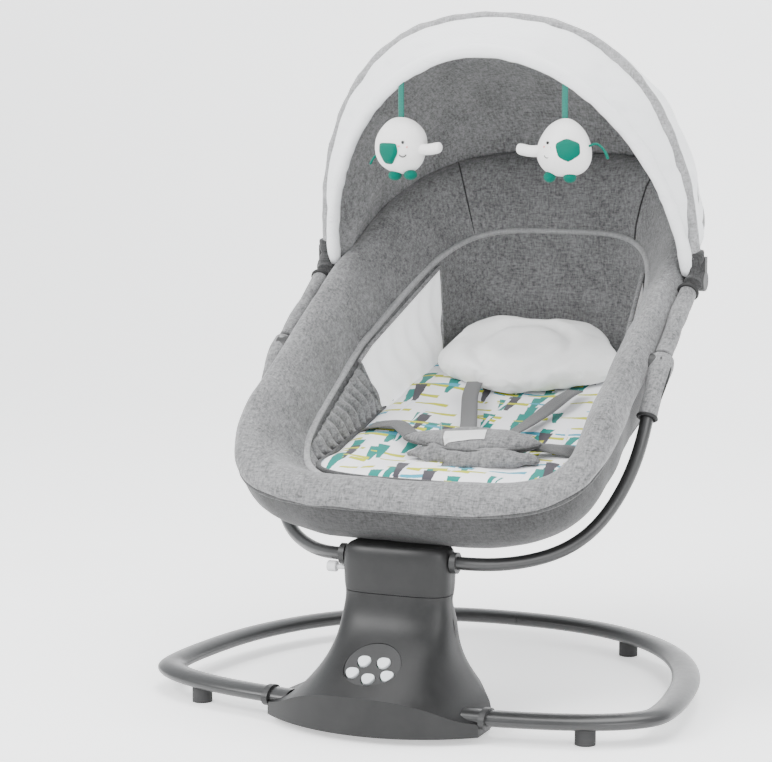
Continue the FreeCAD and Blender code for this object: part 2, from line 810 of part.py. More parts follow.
def make_rim_sleeves():
    """The fabric sleeves behind the hubs, up to the canopy hinges."""
    start = Vector(248, 233, 418)
    end = Vector(248, 328, 479)
    line = Part.Wire([Part.LineSegment(start, end).toShape()])
    publish("rim_sleeves", pair(rod(line, "Sizes.rim_sleeve_radius")))


# ---------------------------------------------------------------- canopy

# half width, reach, roundness and angle above +Y of each bow
BOWS = {
    "rear": (232.0, 290.0, 2.65, 50.2),
    "main": (249.0, 328.0, 2.4, 99.7),
    "front": (240.0, 302.0, 1.95, 110.4),
}
EYE_RADIUS = 7.0
EYE_THICK = 4.6


def arch(half_width, reach, exponent, start, count=12):
    """Points (across, out) of a bow's arch, from start out on the right to start on the left."""
    first = math.asin((start / reach) ** (exponent / 2))
    points = []
    for i in range(count + 1):
        angle = first + (math.pi / 2 - first) * i / count
        across = half_width * max(math.cos(angle), 0) ** (2 / exponent)
        points.append((across, reach * math.sin(angle) ** (2 / exponent)))
    return points + [(-x, out) for x, out in reversed(points[:-1])]


def at_angle(points, angle):
    """Arch points turned to an angle above +Y, in the canopy pivot's frame."""
    turn = math.radians(angle)
    return [Vector(x, out * math.cos(turn), out * math.sin(turn)) for x, out in points]


def make_bow(name):
    half_width, reach, exponent, angle = BOWS[name]
    points = at_angle(arch(half_width, reach, exponent, EYE_RADIUS - 1), angle)
    bend = rod(curve(points), "Sizes.bow_radius")
    eye = cylinder(str(EYE_RADIUS), str(EYE_THICK), at(half_width - EYE_THICK / 2, 0, 0, X_AXIS))
    hole = cylinder("Sizes.pivot_pin_radius + 0.05", "20", at(half_width - 10, 0, 0, X_AXIS))
    holes = group(hole, mirrored(hole))
    publish("canopy_bow_" + name, cut(fuse(bend, eye, mirrored(eye)), holes), PIVOT)


def gore_section(half_width, reach, exponent, angle, start):
    """The thin closed outline of the canopy cloth at one angle."""
    thick = size("canopy_cloth")
    outer = at_angle(arch(half_width, reach, exponent, start), angle)
    inner = at_angle(arch(half_width - thick, reach - thick, exponent, start), angle)
    inner.reverse()
    edges = curve(outer).Edges + [Part.LineSegment(outer[-1], inner[0]).toShape()]
    edges += curve(inner).Edges + [Part.LineSegment(inner[-1], outer[0]).toShape()]
    return Part.Wire(edges)


def make_gore(label, sections, start):
    publish(label, loft([gore_section(*section, start) for section in sections]), PIVOT)


def between(low, high, share, inset):
    """Arch sizes part of the way from one bow to another, inset from both."""
    mixed = [a + (b - a) * share for a, b in zip(BOWS[low], BOWS[high])]
    return (mixed[0] - inset, mixed[1] - inset, mixed[2], mixed[3])


def make_canopy():
    for name in BOWS:
        make_bow(name)
    inset = 3.6
    half_width, reach, exponent, _ = BOWS["rear"]
    low = (half_width - inset, reach - inset, exponent, 40.0)
    make_gore("canopy_rear_panel", [low, between("rear", "main", 0.0, inset)], 45)
    make_gore("canopy_main_panel",
              [between("rear", "main", share, inset) for share in (0.02, 0.5, 0.98)], 45)
    make_gore("canopy_visor",
              [between("main", "front", 0.04, inset), between("main", "front", 0.82, inset * 2)], 60)
    cover = cylinder("13", "9", at(253.3, 0, 0, X_AXIS))
    lever = block("9", "10", "26", at(257.8, 0, 4))
    pin = cylinder("Sizes.pivot_pin_radius", "39.5", at(214.5, 0, 0, X_AXIS))
    publish("canopy_hinges", pair_in(fuse(rounded(cover, 2), lever, pin), PIVOT))


TOY_ACROSS = 108.0


def toy_hang_point():
    """Where a toy's ribbon hangs from the front bow, in the tower's frame."""
    half_width, reach, exponent, angle = BOWS["front"]
    out = reach * (1 - (TOY_ACROSS / half_width) ** exponent) ** (1 / exponent)
    turn = math.radians(angle)
    y = size("pivot_y") + out * math.cos(turn)
    z = size("pivot_z") + out * math.sin(turn)
    return Vector(TOY_ACROSS, y, z)


def make_toys():
    hang = toy_hang_point()
    below = hang.z - size("eyelet_radius") + 0.7
    eyelet = cut(cylinder("Sizes.eyelet_radius", "4", at(hang.x - 2, hang.y, hang.z, X_AXIS)),
                 cylinder("Sizes.eyelet_radius - 1.6", "6", at(hang.x - 3, hang.y, hang.z, X_AXIS)))
    strip = block("Sizes.ribbon_width", "1.5", "Sizes.ribbon_length",
                  at(hang.x, hang.y, below - size("ribbon_length")))
    ribbon = fuse(strip, eyelet)
    body = doc.addObject("Part::Ellipsoid", "ToyBody")
    bind(body, Radius1="Sizes.toy_radius + 2", Radius2="Sizes.toy_radius", Radius3="Sizes.toy_radius - 8")
    centre = below - size("ribbon_length") - size("toy_radius") - 2
    body.Placement = at(hang.x, hang.y, centre)
    trunk = cylinder("7", "56", at(hang.x, hang.y, centre - 6, Vector(-1, 0, 0)))
    toy = cut(fuse(body, trunk), block("40", "20", "40", at(hang.x, hang.y, below - size("ribbon_length"))))
    publish("toy_ribbon_right", ribbon)
    publish("toy_ribbon_left", mirrored(ribbon), Placement())
    publish("toy_right", toy)
    publish("toy_left", mirrored(toy), Placement())


# ---------------------------------------------------------------- build and write

def write_parts():
    doc.recompute()
    for thing in doc.Objects:
        if "Invalid" in thing.State or "Error" in thing.State:
            raise RuntimeError("%s failed: %s" % (thing.Label, thing.State))
    for thing in finished:
        if thing.Shape.isNull() or not thing.Shape.isValid() or thing.Shape.Volume <= 0:
            raise RuntimeError("%s has a bad shape" % thing.Label)
        thing.Shape.exportStep("parts/%s.step" % thing.Label)
    print(len(finished), "parts written")


loop_outer = make_base_loop()
make_feet(loop_outer)
make_tower(loop_outer)
make_panel()
make_drive()
arm_core = rod(curve(arm_points()), "Sizes.arm_radius")
make_head(arm_core)
make_arms(arm_core)
make_collar()
ring_core = make_ring()
make_recline_plates(ring_core)
make_tub()
make_pad()
make_rim_sleeves()
make_canopy()
make_toys()
write_parts()
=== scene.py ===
"""Looks of the baby swing: soft goods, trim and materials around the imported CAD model."""
import bpy
import json
import math
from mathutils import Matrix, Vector, noise
from mathutils.bvhtree import BVHTree


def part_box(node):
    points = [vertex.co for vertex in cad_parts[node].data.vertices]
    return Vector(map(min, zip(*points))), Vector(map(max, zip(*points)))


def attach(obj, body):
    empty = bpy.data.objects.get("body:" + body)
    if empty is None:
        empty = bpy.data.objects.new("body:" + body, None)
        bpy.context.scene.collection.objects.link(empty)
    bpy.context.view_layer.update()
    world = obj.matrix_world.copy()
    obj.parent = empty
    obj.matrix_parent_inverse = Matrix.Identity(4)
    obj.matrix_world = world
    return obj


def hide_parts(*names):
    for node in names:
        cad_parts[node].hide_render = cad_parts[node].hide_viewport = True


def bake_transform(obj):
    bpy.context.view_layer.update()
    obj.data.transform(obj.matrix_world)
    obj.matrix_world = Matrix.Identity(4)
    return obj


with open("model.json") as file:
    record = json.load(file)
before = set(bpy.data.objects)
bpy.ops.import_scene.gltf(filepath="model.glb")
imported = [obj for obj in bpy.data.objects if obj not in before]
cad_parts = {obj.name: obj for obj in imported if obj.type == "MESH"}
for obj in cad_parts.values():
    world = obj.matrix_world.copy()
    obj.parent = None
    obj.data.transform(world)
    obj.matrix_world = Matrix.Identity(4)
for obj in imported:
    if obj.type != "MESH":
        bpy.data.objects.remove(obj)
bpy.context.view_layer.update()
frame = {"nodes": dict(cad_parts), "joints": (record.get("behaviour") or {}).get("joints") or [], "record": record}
MM = 0.001
SIDES = ((1, "right"), (-1, "left"))

# ---- places from the frame


def joint_place(name):
    """Where a hinge is, in the row frame."""
    found = [j for j in frame["joints"] if j["name"] == name][0]
    return Vector(found["pos_m"])


TOWER_Y = joint_place("seat_swing").y
PIVOT = joint_place("canopy_fold")

RING_TILT = math.radians(30)
RING_ORIGIN = Vector((0, TOWER_Y - 0.035, 0.248))
PAD_TILT = math.radians(12.8)
PAD_ORIGIN = Vector((0, TOWER_Y + 0.083, 0.267))


def tilted(origin, tilt, x, along, up):
    """A point of a frame that is turned about X, from millimetres to the row frame."""
    c, s = math.cos(tilt), math.sin(tilt)
    return origin + Vector((x, along * c - up * s, along * s + up * c)) * MM


def seat(x, along, up):
    return tilted(RING_ORIGIN, RING_TILT, x, along, up)


def on_pad(x, along, up):
    return tilted(PAD_ORIGIN, PAD_TILT, x, along, up)


def mix(a, b, t):
    return a + (b - a) * t


def smooth(t):
    t = min(max(t, 0.0), 1.0)
    return t * t * (3 - 2 * t)


# ---- mesh helpers

def new_mesh(name, verts, faces, material, levels=0, shade=True):
    mesh = bpy.data.meshes.new(name)
    mesh.from_pydata([tuple(v) for v in verts], [], faces)
    mesh.validate()
    mesh.update()
    obj = bpy.data.objects.new(name, mesh)
    bpy.context.scene.collection.objects.link(obj)
    mesh.materials.append(material)
    for polygon in mesh.polygons:
        polygon.use_smooth = shade
    if levels:
        subdivide(obj, levels)
    return obj


def subdivide(obj, levels=1):
    modifier = obj.modifiers.new("Round", "SUBSURF")
    modifier.levels = levels
    modifier.render_levels = levels


def grid(name, point, columns, rows, material, wrap_u=False, wrap_v=False, levels=0):
    """A sheet of quads from point(u, v); u and v run over 0 to 1, or wrap round."""
    across = columns if wrap_u else columns + 1
    down = rows if wrap_v else rows + 1
    verts = [point(i / columns, j / rows) for j in range(down) for i in range(across)]
    faces = []
    for j in range(rows):
        for i in range(columns):
            a = j * across + i
            b = j * across + (i + 1) % across
            c = ((j + 1) % down) * across + (i + 1) % across
            d = ((j + 1) % down) * across + i
            faces.append((a, b, c, d))
    return new_mesh(name, verts, faces, material, levels)


def skin(name, rings, material, closed=False):
    """Join rings of points into a tube, capped at both ends unless it is closed."""
    count, sides = len(rings), len(rings[0])
    faces = []
    for i in range(count if closed else count - 1):
        for k in range(sides):
            a = i * sides + k
            b = i * sides + (k + 1) % sides
            c = ((i + 1) % count) * sides + (k + 1) % sides
            d = ((i + 1) % count) * sides + k
            faces.append((a, b, c, d))
    if not closed:
        faces.append(tuple(reversed(range(sides))))
        faces.append(tuple((count - 1) * sides + k for k in range(sides)))
    return new_mesh(name, [p for ring in rings for p in ring], faces, material)


def tube(name, points, radius, material, closed=False, sides=10, flat=1.0):
    """A round or flattened tube along points; radius is in millimetres."""
    count = len(points)
    rings = []
    up = Vector((0, 0, 1))
    for i, p in enumerate(points):
        before = points[(i - 1) % count] if closed or i else p
        after = points[(i + 1) % count] if closed or i < count - 1 else p
        ahead = (after - before).normalized()
        side = ahead.cross(up)
        if side.length < 0.05:
            side = ahead.cross(Vector((0, 1, 0)))
        side.normalize()
        lift = side.cross(ahead)
        ring = []
        for k in range(sides):
            angle = 2 * math.pi * k / sides
            offset = side * math.cos(angle) + lift * math.sin(angle) * flat
            ring.append(p + offset * radius * MM)
        rings.append(ring)
    return skin(name, rings, material, closed)


def spline(points, count):
    """Evenly numbered points along a smooth curve through the given ones."""
    result = []
    last = len(points) - 1
    for i in range(count):
        t = i / (count - 1) * last
        k = min(int(t), last - 1)
        f = t - k
        p0 = points[max(k - 1, 0)]
        p1, p2 = points[k], points[k + 1]
        p3 = points[min(k + 2, last)]
        a = p1 * 2
        b = (p2 - p0) * f
        c = (p0 * 2 - p1 * 5 + p2 * 4 - p3) * f * f
        d = (p1 * 3 - p0 - p2 * 3 + p3) * f * f * f
        result.append((a + b + c + d) * 0.5)
    return result


def carry(pieces, body):
    """Pieces ride on one body."""
    for piece in pieces:
        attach(piece, body)


# ---- outlines of the seat

QUARTER = 28


def even_places(points, count):
    """Places that divide an open line evenly: the number of a span, and the share along it."""
    lengths = [0.0]
    for p, q in zip(points, points[1:]):
        lengths.append(lengths[-1] + (q - p).length)
    places, k = [], 0
    for i in range(count + 1):
        target = lengths[-1] * i / count
        while k < len(points) - 2 and lengths[k + 1] < target:
            k += 1
        span = lengths[k + 1] - lengths[k] or 1.0
        places.append((k, (target - lengths[k]) / span))
    return places


def even(points, count):
    """The same open line with count evenly spaced spans."""
    return [points[k].lerp(points[k + 1], share) for k, share in even_places(points, count)]


def corner(exponent):
    """A quarter superellipse of unit size, from (0, 1) to (1, 0)."""
    steps = 240
    turns = [math.pi / 2 * i / steps for i in range(steps + 1)]
    return [(max(math.sin(a), 0) ** (2 / exponent), max(math.cos(a), 0) ** (2 / exponent)) for a in turns]


def loop(half_width, foot, head, foot_round, head_round, foot_exp, head_exp, taper=0.0):
    """A closed seat outline as (x, along) points: foot middle, right side, head, left side."""
    middle = (foot + head) / 2

    def narrowed(x, s):
        return Vector((x * (1 - taper * max(0.0, (s - middle) / (head - middle))), s))

    foot_part = [narrowed(half_width * a, foot + foot_round * (1 - b)) for a, b in corner(foot_exp)]
    head_part = [narrowed(half_width * b, head - head_round * (1 - a)) for a, b in corner(head_exp)]
    foot_part.append(narrowed(half_width, middle))
    head_part.insert(0, narrowed(half_width, middle))
    half = even(foot_part, QUARTER) + even(head_part, QUARTER)[1:]
    return half + [Vector((-p.x, p.y)) for p in reversed(half[1:-1])]


def around(points, u):
    """The point a share u of the way round a closed loop."""
    t = (u % 1.0) * len(points)
    k = int(t) % len(points)
    return points[k].lerp(points[(k + 1) % len(points)], t - int(t))


SEAM = loop(230, 1, 738, 197, 275, 4.0, 2.8)
UNDER = loop(205, 24, 712, 182, 250, 4.0, 2.8)
BINDING = loop(184, 89, 655, 262, 210, 5.0, 4.0, 0.22)
FLOOR = loop(162, 50, 584, 110, 150, 3.4, 3.4, 0.06)


def floor_height(along):
    """The underside of the tub, below the ring plane."""
    return -60 - along * math.tan(math.radians(16.4))


def binding_height(along):
    return -38 - 12 * (along - 89) / (655 - 89)


# ---- node material helpers

class Nodes:
    """A short way to write a node material."""

    def __init__(self, name):
        self.material = bpy.data.materials.new(name)
        self.material.use_nodes = True
        self.tree = self.material.node_tree
        self.shader = self.tree.nodes["Principled BSDF"]

    def add(self, kind, **settings):
        node = self.tree.nodes.new(kind)
        for key, value in settings.items():
            setattr(node, key, value)
        return node

    def link(self, out, into):
        self.tree.links.new(out, into)

    def set(self, **sockets):
        for name, value in sockets.items():
            self.shader.inputs[name.replace("_", " ")].default_value = value

    def value(self, socket, given):
        if isinstance(given, (int, float)):
            socket.default_value = given
        else:
            self.link(given, socket)

    def math(self, operation, a, b=0.0, c=0.0):
        node = self.add("ShaderNodeMath", operation=operation)
        for socket, given in zip(node.inputs, (a, b, c)):
            self.value(socket, given)
        return node.outputs[0]

    def plus(self, a, b):
        return self.math("ADD", a, b)

    def times(self, a, b):
        return self.math("MULTIPLY", a, b)

    def place(self, rotation=0.0, scale=(1, 1, 1)):
        """Coordinates in metres, turned about X by rotation and scaled."""
        source = self.add("ShaderNodeTexCoord").outputs["Object"]
        mapping = self.add("ShaderNodeMapping", vector_type="POINT")
        mapping.inputs["Rotation"].default_value = (-rotation, 0, 0)
        mapping.inputs["Scale"].default_value = scale
        self.link(source, mapping.inputs["Vector"])
        return mapping.outputs[0]

    def noise(self, vector, scale, detail=2.0, rough=0.5):
        node = self.add("ShaderNodeTexNoise")
        self.link(vector, node.inputs["Vector"])
        node.inputs["Scale"].default_value = scale
        node.inputs["Detail"].default_value = detail
        node.inputs["Roughness"].default_value = rough
        return node.outputs["Fac"]

    def ramp(self, factor, stops, mode="LINEAR"):
        node = self.add("ShaderNodeValToRGB")
        node.color_ramp.interpolation = mode
        elements = node.color_ramp.elements
        while len(elements) < len(stops):
            elements.new(0.5)
        for element, (position, color) in zip(elements, stops):
            element.position = position
            element.color = (*color, 1.0)
        self.link(factor, node.inputs["Fac"])
        return node.outputs["Color"]

    def blend(self, factor, a, b):
        node = self.add("ShaderNodeMix", data_type="RGBA")
        self.value(node.inputs[0], factor)
        for socket, given in ((node.inputs[6], a), (node.inputs[7], b)):
            if isinstance(given, tuple):
                socket.default_value = (*given, 1.0)
            else:
                self.link(given, socket)
        return node.outputs[2]

    def bump(self, height, strength, distance):
        node = self.add("ShaderNodeBump")
        node.inputs["Strength"].default_value = strength
        node.inputs["Distance"].default_value = distance
        self.link(height, node.inputs["Height"])
        self.link(node.outputs[0], self.shader.inputs["Normal"])

    def color(self, out):
        self.link(out, self.shader.inputs["Base Color"])

    def roughness(self, out, low, high):
        scaled = self.math("MULTIPLY_ADD", out, high - low, low)
        self.link(scaled, self.shader.inputs["Roughness"])


def grey(level):
    return (level, level, level * 1.01)


def melange(name, dark, light, tilt=RING_TILT):
    """Woven melange: mixed light and dark yarns, slubs both ways and a fine weave."""
    m = Nodes(name)
    warp = m.noise(m.place(tilt, (430, 150, 150)), 1.0, 3.0, 0.65)
    weft = m.noise(m.place(tilt, (120, 460, 460)), 1.0, 3.0, 0.65)
    cloud = m.noise(m.place(tilt), 24.0, 2.0)
    yarns = m.plus(m.times(warp, 0.5), m.times(weft, 0.5))
    total = m.plus(m.times(yarns, 0.86), m.times(cloud, 0.14))
    middle = tuple(mix(a, b, 0.5) for a, b in zip(dark, light))
    m.color(m.ramp(total, ((0.38, dark), (0.5, middle), (0.62, light))))
    fine = m.noise(m.place(tilt), 1500.0, 2.0)
    m.bump(m.plus(yarns, m.times(fine, 0.5)), 0.5, 0.0006)
    m.roughness(fine, 0.8, 0.98)
    m.set(Sheen_Weight=0.25, Sheen_Roughness=0.5, Specular_IOR_Level=0.25)
    return m.material


def plastic(name, color, roughness=0.42, grain=0.25):
    """Moulded plastic with a fine spark-eroded grain and faint rubbing."""
    m = Nodes(name)
    place = m.place()
    fine = m.noise(place, 2600.0, 2.0, 0.6)
    rub = m.noise(place, 38.0, 4.0, 0.6)
    lighter = tuple(min(1.0, c * 1.16 + 0.004) for c in color)
    m.color(m.ramp(rub, ((0.35, color), (0.7, lighter))))
    m.roughness(m.plus(m.times(rub, 0.7), m.times(fine, 0.3)),
                roughness - 0.1, roughness + 0.14)
    m.bump(fine, grain, 0.00012)
    m.set(Specular_IOR_Level=0.4)
    return m.material


def painted(name, color):
    """Satin powder coat on tube, with slight orange peel and small scuffs."""
    m = Nodes(name)
    place = m.place()
    peel = m.noise(place, 420.0, 2.0)
    scuff = m.noise(place, 60.0, 6.0, 0.75)
    m.color(m.ramp(scuff, ((0.3, color), (0.72, tuple(c * 1.2 for c in color)))))
    m.roughness(scuff, 0.24, 0.46)
    m.bump(peel, 0.12, 0.0003)
    m.set(Coat_Weight=0.25, Coat_Roughness=0.25, Metallic=0.15)
    return m.material


def webbing(name, color, tilt=PAD_TILT):
    """Flat woven strap: fine ribs along and across."""
    m = Nodes(name)
    across = m.add("ShaderNodeTexWave", wave_type="BANDS", bands_direction="X")
    m.link(m.place(tilt), across.inputs["Vector"])
    across.inputs["Scale"].default_value = 260.0
    along = m.add("ShaderNodeTexWave", wave_type="BANDS", bands_direction="Y")
    m.link(m.place(tilt), along.inputs["Vector"])
    along.inputs["Scale"].default_value = 420.0
    speck = m.noise(m.place(tilt), 700.0, 3.0)
    weave = m.times(across.outputs["Fac"], along.outputs["Fac"])
    dark = tuple(c * 0.72 for c in color)
    m.color(m.blend(m.math("MULTIPLY_ADD", speck, 0.6, m.times(weave, 0.4)), dark, color))
    m.bump(weave, 0.6, 0.0004)
    m.roughness(speck, 0.7, 0.95)
    m.set(Sheen_Weight=0.15)
    return m.material


def plush(name, color, pile=900.0, strength=0.7, sheen=0.6):
    """Short soft pile."""
    m = Nodes(name)
    place = m.place()
    fur = m.noise(place, pile, 4.0, 0.7)
    cloud = m.noise(place, 30.0, 2.0)
    dark = tuple(c * 0.86 for c in color)
    m.color(m.ramp(m.math("MULTIPLY_ADD", cloud, 0.4, m.times(fur, 0.6)),
                   ((0.3, dark), (0.62, color))))
    m.bump(fur, strength, 0.0008)
    m.roughness(fur, 0.85, 1.0)
    m.set(Sheen_Weight=sheen, Sheen_Roughness=0.4, Specular_IOR_Level=0.15)
    return m.material


def netting(name, color, shade, tilt=RING_TILT, size=900.0, painted_glow=0.0):
    """Fine knitted net: rows of small darker holes, and a white emission as painted light shining through the net.
    """
    m = Nodes(name)
    holes = m.add("ShaderNodeTexVoronoi", feature="F1")
    m.link(m.place(tilt), holes.inputs["Vector"])
    holes.inputs["Scale"].default_value = size
    holes.inputs["Randomness"].default_value = 0.25
    cloud = m.noise(m.place(tilt, (14, 70, 70)), 1.0, 3.0)
    knit = m.math("MULTIPLY_ADD", cloud, 0.55, m.times(holes.outputs["Distance"], 0.7))
    m.color(m.ramp(knit, ((0.18, shade), (0.5, color))))
    m.bump(holes.outputs["Distance"], 0.5, 0.0005)
    m.roughness(cloud, 0.75, 0.95)
    m.set(Sheen_Weight=0.2, Emission_Color=(1.0, 1.0, 1.0, 1.0), Emission_Strength=painted_glow)
    return m.material


TEAL = (0.0, 0.19, 0.16)
LIME = (0.46, 0.48, 0.01)
SKY = (0.04, 0.30, 0.42)
CHARCOAL = (0.05, 0.045, 0.055)
PALE = (0.78, 0.80, 0.86)


def brush_print(name):
    """White cotton printed with short brush strokes, laid this way and that in a grid of cells."""
    m = Nodes(name)
    place = m.place(PAD_TILT)
    wobble = m.noise(place, 45.0, 2.0)
    fray = m.noise(place, 420.0, 3.0)
    split = m.add("ShaderNodeSeparateXYZ")
    m.link(place, split.inputs[0])
    shift = m.math("MULTIPLY_ADD", wobble, 0.006, -0.003)
    x = m.plus(split.outputs[0], shift)
    y = m.math("SUBTRACT", split.outputs[1], shift)
    result = (0.86, 0.86, 0.88)
    layers = (
        (0.062, 0.034, 0.000, 0.34, TEAL, 0.0),
        (0.062, 0.030, 0.021, 0.22, LIME, 3.7),
        (0.060, 0.044, 0.037, 0.24, TEAL, 7.1),
        (0.066, 0.036, 0.013, 0.18, SKY, 11.9),
        (0.074, 0.044, 0.029, 0.26, CHARCOAL, 17.3),
        (0.049, 0.033, 0.045, 0.16, LIME, 23.9),
        (0.070, 0.030, 0.008, 0.12, PALE, 31.1),
    )
    for k, (long, wide, offset, thick, color, seed) in enumerate(layers):
        along, across = (x, y) if k % 2 else (y, x)
        a = m.math("DIVIDE", m.plus(along, offset + 2.0), long)
        row = m.math("FLOOR", m.math("DIVIDE", m.plus(across, offset + 1.0), wide))
        a = m.plus(a, m.times(row, 0.37))
        b = m.math("DIVIDE", m.plus(across, offset + 1.0), wide)
        cell = m.add("ShaderNodeCombineXYZ")
        m.link(m.math("FLOOR", a), cell.inputs[0])
        m.link(row, cell.inputs[1])
        cell.inputs[2].default_value = seed
        chance = m.add("ShaderNodeTexWhiteNoise", noise_dimensions="3D")
        m.link(cell.outputs[0], chance.inputs["Vector"])
        tilt = m.math("MULTIPLY_ADD", chance.outputs["Value"], 1.1, -0.75)
        fa = m.math("SUBTRACT", m.math("FRACT", a), 0.5)
        fb = m.math("SUBTRACT", m.math("FRACT", b), 0.5)
        fb = m.plus(fb, m.times(fa, tilt))
        edge = m.math("MULTIPLY_ADD", fray, 0.06, -0.03)
        inside_long = m.math("LESS_THAN", m.plus(m.math("ABSOLUTE", fa), edge), 0.36)
        taper = m.math("MULTIPLY_ADD", fa, 0.7 * thick, thick * 0.5)
        ragged = m.times(edge, 0.5)
        inside_wide = m.math("LESS_THAN", m.plus(m.math("ABSOLUTE", fb), ragged), taper)
        present = m.math("GREATER_THAN", chance.outputs["Value"], 0.46 if color != CHARCOAL else 0.80)
        mask = m.times(m.times(inside_long, inside_wide), present)
        result = m.blend(mask, result, color)
    m.color(result)
    thread = m.noise(m.place(PAD_TILT), 1400.0, 2.0)
    m.bump(thread, 0.3, 0.0003)
    m.roughness(thread, 0.75, 0.95)
    m.set(Sheen_Weight=0.15, Specular_IOR_Level=0.25)
    return m.material


MELANGE = melange("grey_melange_cloth", grey(0.076), grey(0.245))
# darker copy of the grey melange: painted shade for the collar's skirt, the collar seams, the tub's outside and
# bottom and the hinge tabs
MELANGE_PAINTED_SHADE = melange("grey_melange_painted_shade", grey(0.015), grey(0.054))
MELANGE_DARK = melange("grey_melange_lining", grey(0.095), grey(0.29))
MELANGE_LIGHT = melange("grey_melange_light", grey(0.16), grey(0.34))
BINDING_CLOTH = melange("grey_melange_binding", grey(0.24), grey(0.38))
PIPING = melange("dark_piping_cloth", grey(0.03), grey(0.085))
NET = netting("white_canopy_net", (0.80, 0.81, 0.82), (0.42, 0.43, 0.45))
# the window mesh glows white: painted light from outside shining through
MESH = netting("white_window_mesh", (0.88, 0.89, 0.90), (0.70, 0.71, 0.73), size=620.0, painted_glow=0.5)
PRINT = brush_print("brush_stroke_print")
WHITE_PLUSH = plush("white_pillow_plush", (0.90, 0.90, 0.89))
TOY_WHITE = plush("toy_white_plush", (0.84, 0.83, 0.82), 1300.0)
TOY_TEAL = plush("toy_teal_plush", (0.0, 0.125, 0.088), 1300.0, sheen=0.1)
STRAP = webbing("grey_webbing", grey(0.13))
RIBBON = webbing("teal_ribbon", (0.0, 0.14, 0.105))
HOUSING = plastic("housing_grey_plastic", grey(0.006))
PANEL = plastic("panel_dark_plastic", grey(0.02), 0.35)
BUTTON = plastic("button_light_rubber", (0.60, 0.63, 0.64), 0.5)
KNOB = plastic("knob_light_plastic", grey(0.60), 0.45)
DARK = plastic("trim_dark_plastic", grey(0.022), 0.4)
TUBE = painted("grey_tube_paint", grey(0.020))
RUBBER = plastic("foot_black_rubber", grey(0.03), 0.75, 0.5)
STEEL = painted("plain_steel", grey(0.45))
BOARD = plastic("green_circuit_board", (0.01, 0.12, 0.05), 0.4)
INK = plastic("black_thread", grey(0.01), 0.6)
BLUSH = plastic("pink_blush_thread", (0.75, 0.30, 0.28), 0.8)
LABEL = webbing("white_label_cloth", (0.85, 0.85, 0.84))

CAD_LOOKS = {
    "tube_paint": TUBE, "housing_plastic": HOUSING, "panel_plastic": PANEL,
    "button_rubber": BUTTON, "light_plastic": KNOB, "foot_rubber": RUBBER,
    "dark_plastic": DARK, "steel": STEEL, "circuit_board": BOARD,
    "grey_melange": MELANGE, "board": KNOB,
}


def dress_cad_nodes():
    """Give every carried-over CAD node its finish, by the slot its record names."""
    for entry in frame["record"]["subparts"]:
        look = CAD_LOOKS.get(entry["material_slot"])
        if look:
            mesh = frame["nodes"][entry["node"]].data
            mesh.materials.clear()
            mesh.materials.append(look)


# ---- puffs and wrinkles

def ripple(point, size, height):
    """A soft random swelling, height millimetres at most, with waves about size metres long."""
    return noise.noise(point / size) * height * MM


def swell(obj, layers):
    """Move each vertex along its normal by layers of (size in metres, height in millimetres)."""
    mesh = obj.data
    normals = [v.normal.copy() for v in mesh.vertices]
    for vertex, normal in zip(mesh.vertices, normals):
        move = sum(ripple(vertex.co, size, height) for size, height in layers)
        vertex.co += normal * move
    mesh.update()
    return obj


def settle(obj):
    """Replace the mesh by what its modifiers make of it."""
    graph = bpy.context.evaluated_depsgraph_get()
    mesh = bpy.data.meshes.new_from_object(obj.evaluated_get(graph))
    obj.modifiers.clear()
    obj.data = mesh
    return mesh


PUFF_FRAMES = 20


def puff(obj, cell, pressure, most):
    """Blow up a stuffed piece as cloth, so that it fills out and creases; most is in millimetres."""
    remesh = obj.modifiers.new("Even", "REMESH")
    remesh.mode = "VOXEL"
    remesh.voxel_size = cell * MM
    mesh = settle(obj)
    before = [v.co.copy() for v in mesh.vertices]
    cloth = obj.modifiers.new("Cloth", "CLOTH")
    cloth.settings.quality = 5
    cloth.settings.mass = 0.2
    cloth.settings.tension_stiffness = 12
    cloth.settings.compression_stiffness = 6
    cloth.settings.bending_stiffness = 0.15
    cloth.settings.shrink_min = -0.06
    cloth.settings.use_pressure = True
    cloth.settings.uniform_pressure_force = pressure
    cloth.settings.effector_weights.gravity = 0
    cloth.point_cache.frame_start = 1
    cloth.point_cache.frame_end = PUFF_FRAMES
    for step in range(1, PUFF_FRAMES + 1):
        bpy.context.scene.frame_set(step)
    mesh = settle(obj)
    for vertex, start in zip(mesh.vertices, before):
        move = vertex.co - start
        if move.length > most * MM:
            vertex.co = start + move.normalized() * most * MM
    for polygon in mesh.polygons:
        polygon.use_smooth = True
    subdivide(obj)
    return obj


# ---- collar of the seat

# across the roll from the binding to the seam: share of the width, height at the foot, height at the sides
COLLAR_PROFILE = (
    (0.00, -39, -39), (0.03, -36, -22), (0.10, -32, 4), (0.26, -14, 25), (0.46, 11, 36), (0.64, 20, 42),
    (0.82, 21, 43), (0.97, 15, 38), (1.06, 8, 25), (1.07, 3, 10), (1.01, -1, -1),
)
SKIRT_PROFILE = ((0.0, 0), (0.02, -8), (0.10, -26), (0.30, -44), (0.62, -58), (1.15, -70))


def read_stops(stops, v):
    """The values a share v of the way along a list of stops."""
    step = v * (len(stops) - 1)
    k = min(int(step), len(stops) - 2)
    return [mix(a, b, step - k) for a, b in zip(stops[k], stops[k + 1])]


def side_fullness(along):
    """How much fuller the roll is beside the child than at the foot and the head."""
    return smooth((along - 30) / 130) * (1 - 0.55 * smooth((along - 400) / 120))


def collar_point(u, v):
    """A point on the padded collar: v runs from the binding over the crown to the outer seam."""
    inner, outer = around(BINDING, u), around(SEAM, u)
    share, foot_height, side_height = read_stops(COLLAR_PROFILE, v)
    full = side_fullness(outer.y)
    deeper = (binding_height(inner.y) + 38) * (1 - min(share, 1))
    reach = share if share <= 1 else 1 + (share - 1) * mix(0.4, 2.6, full)
    plan = inner.lerp(outer, reach)
    return seat(plan.x, plan.y, mix(foot_height, side_height, full) + deeper)


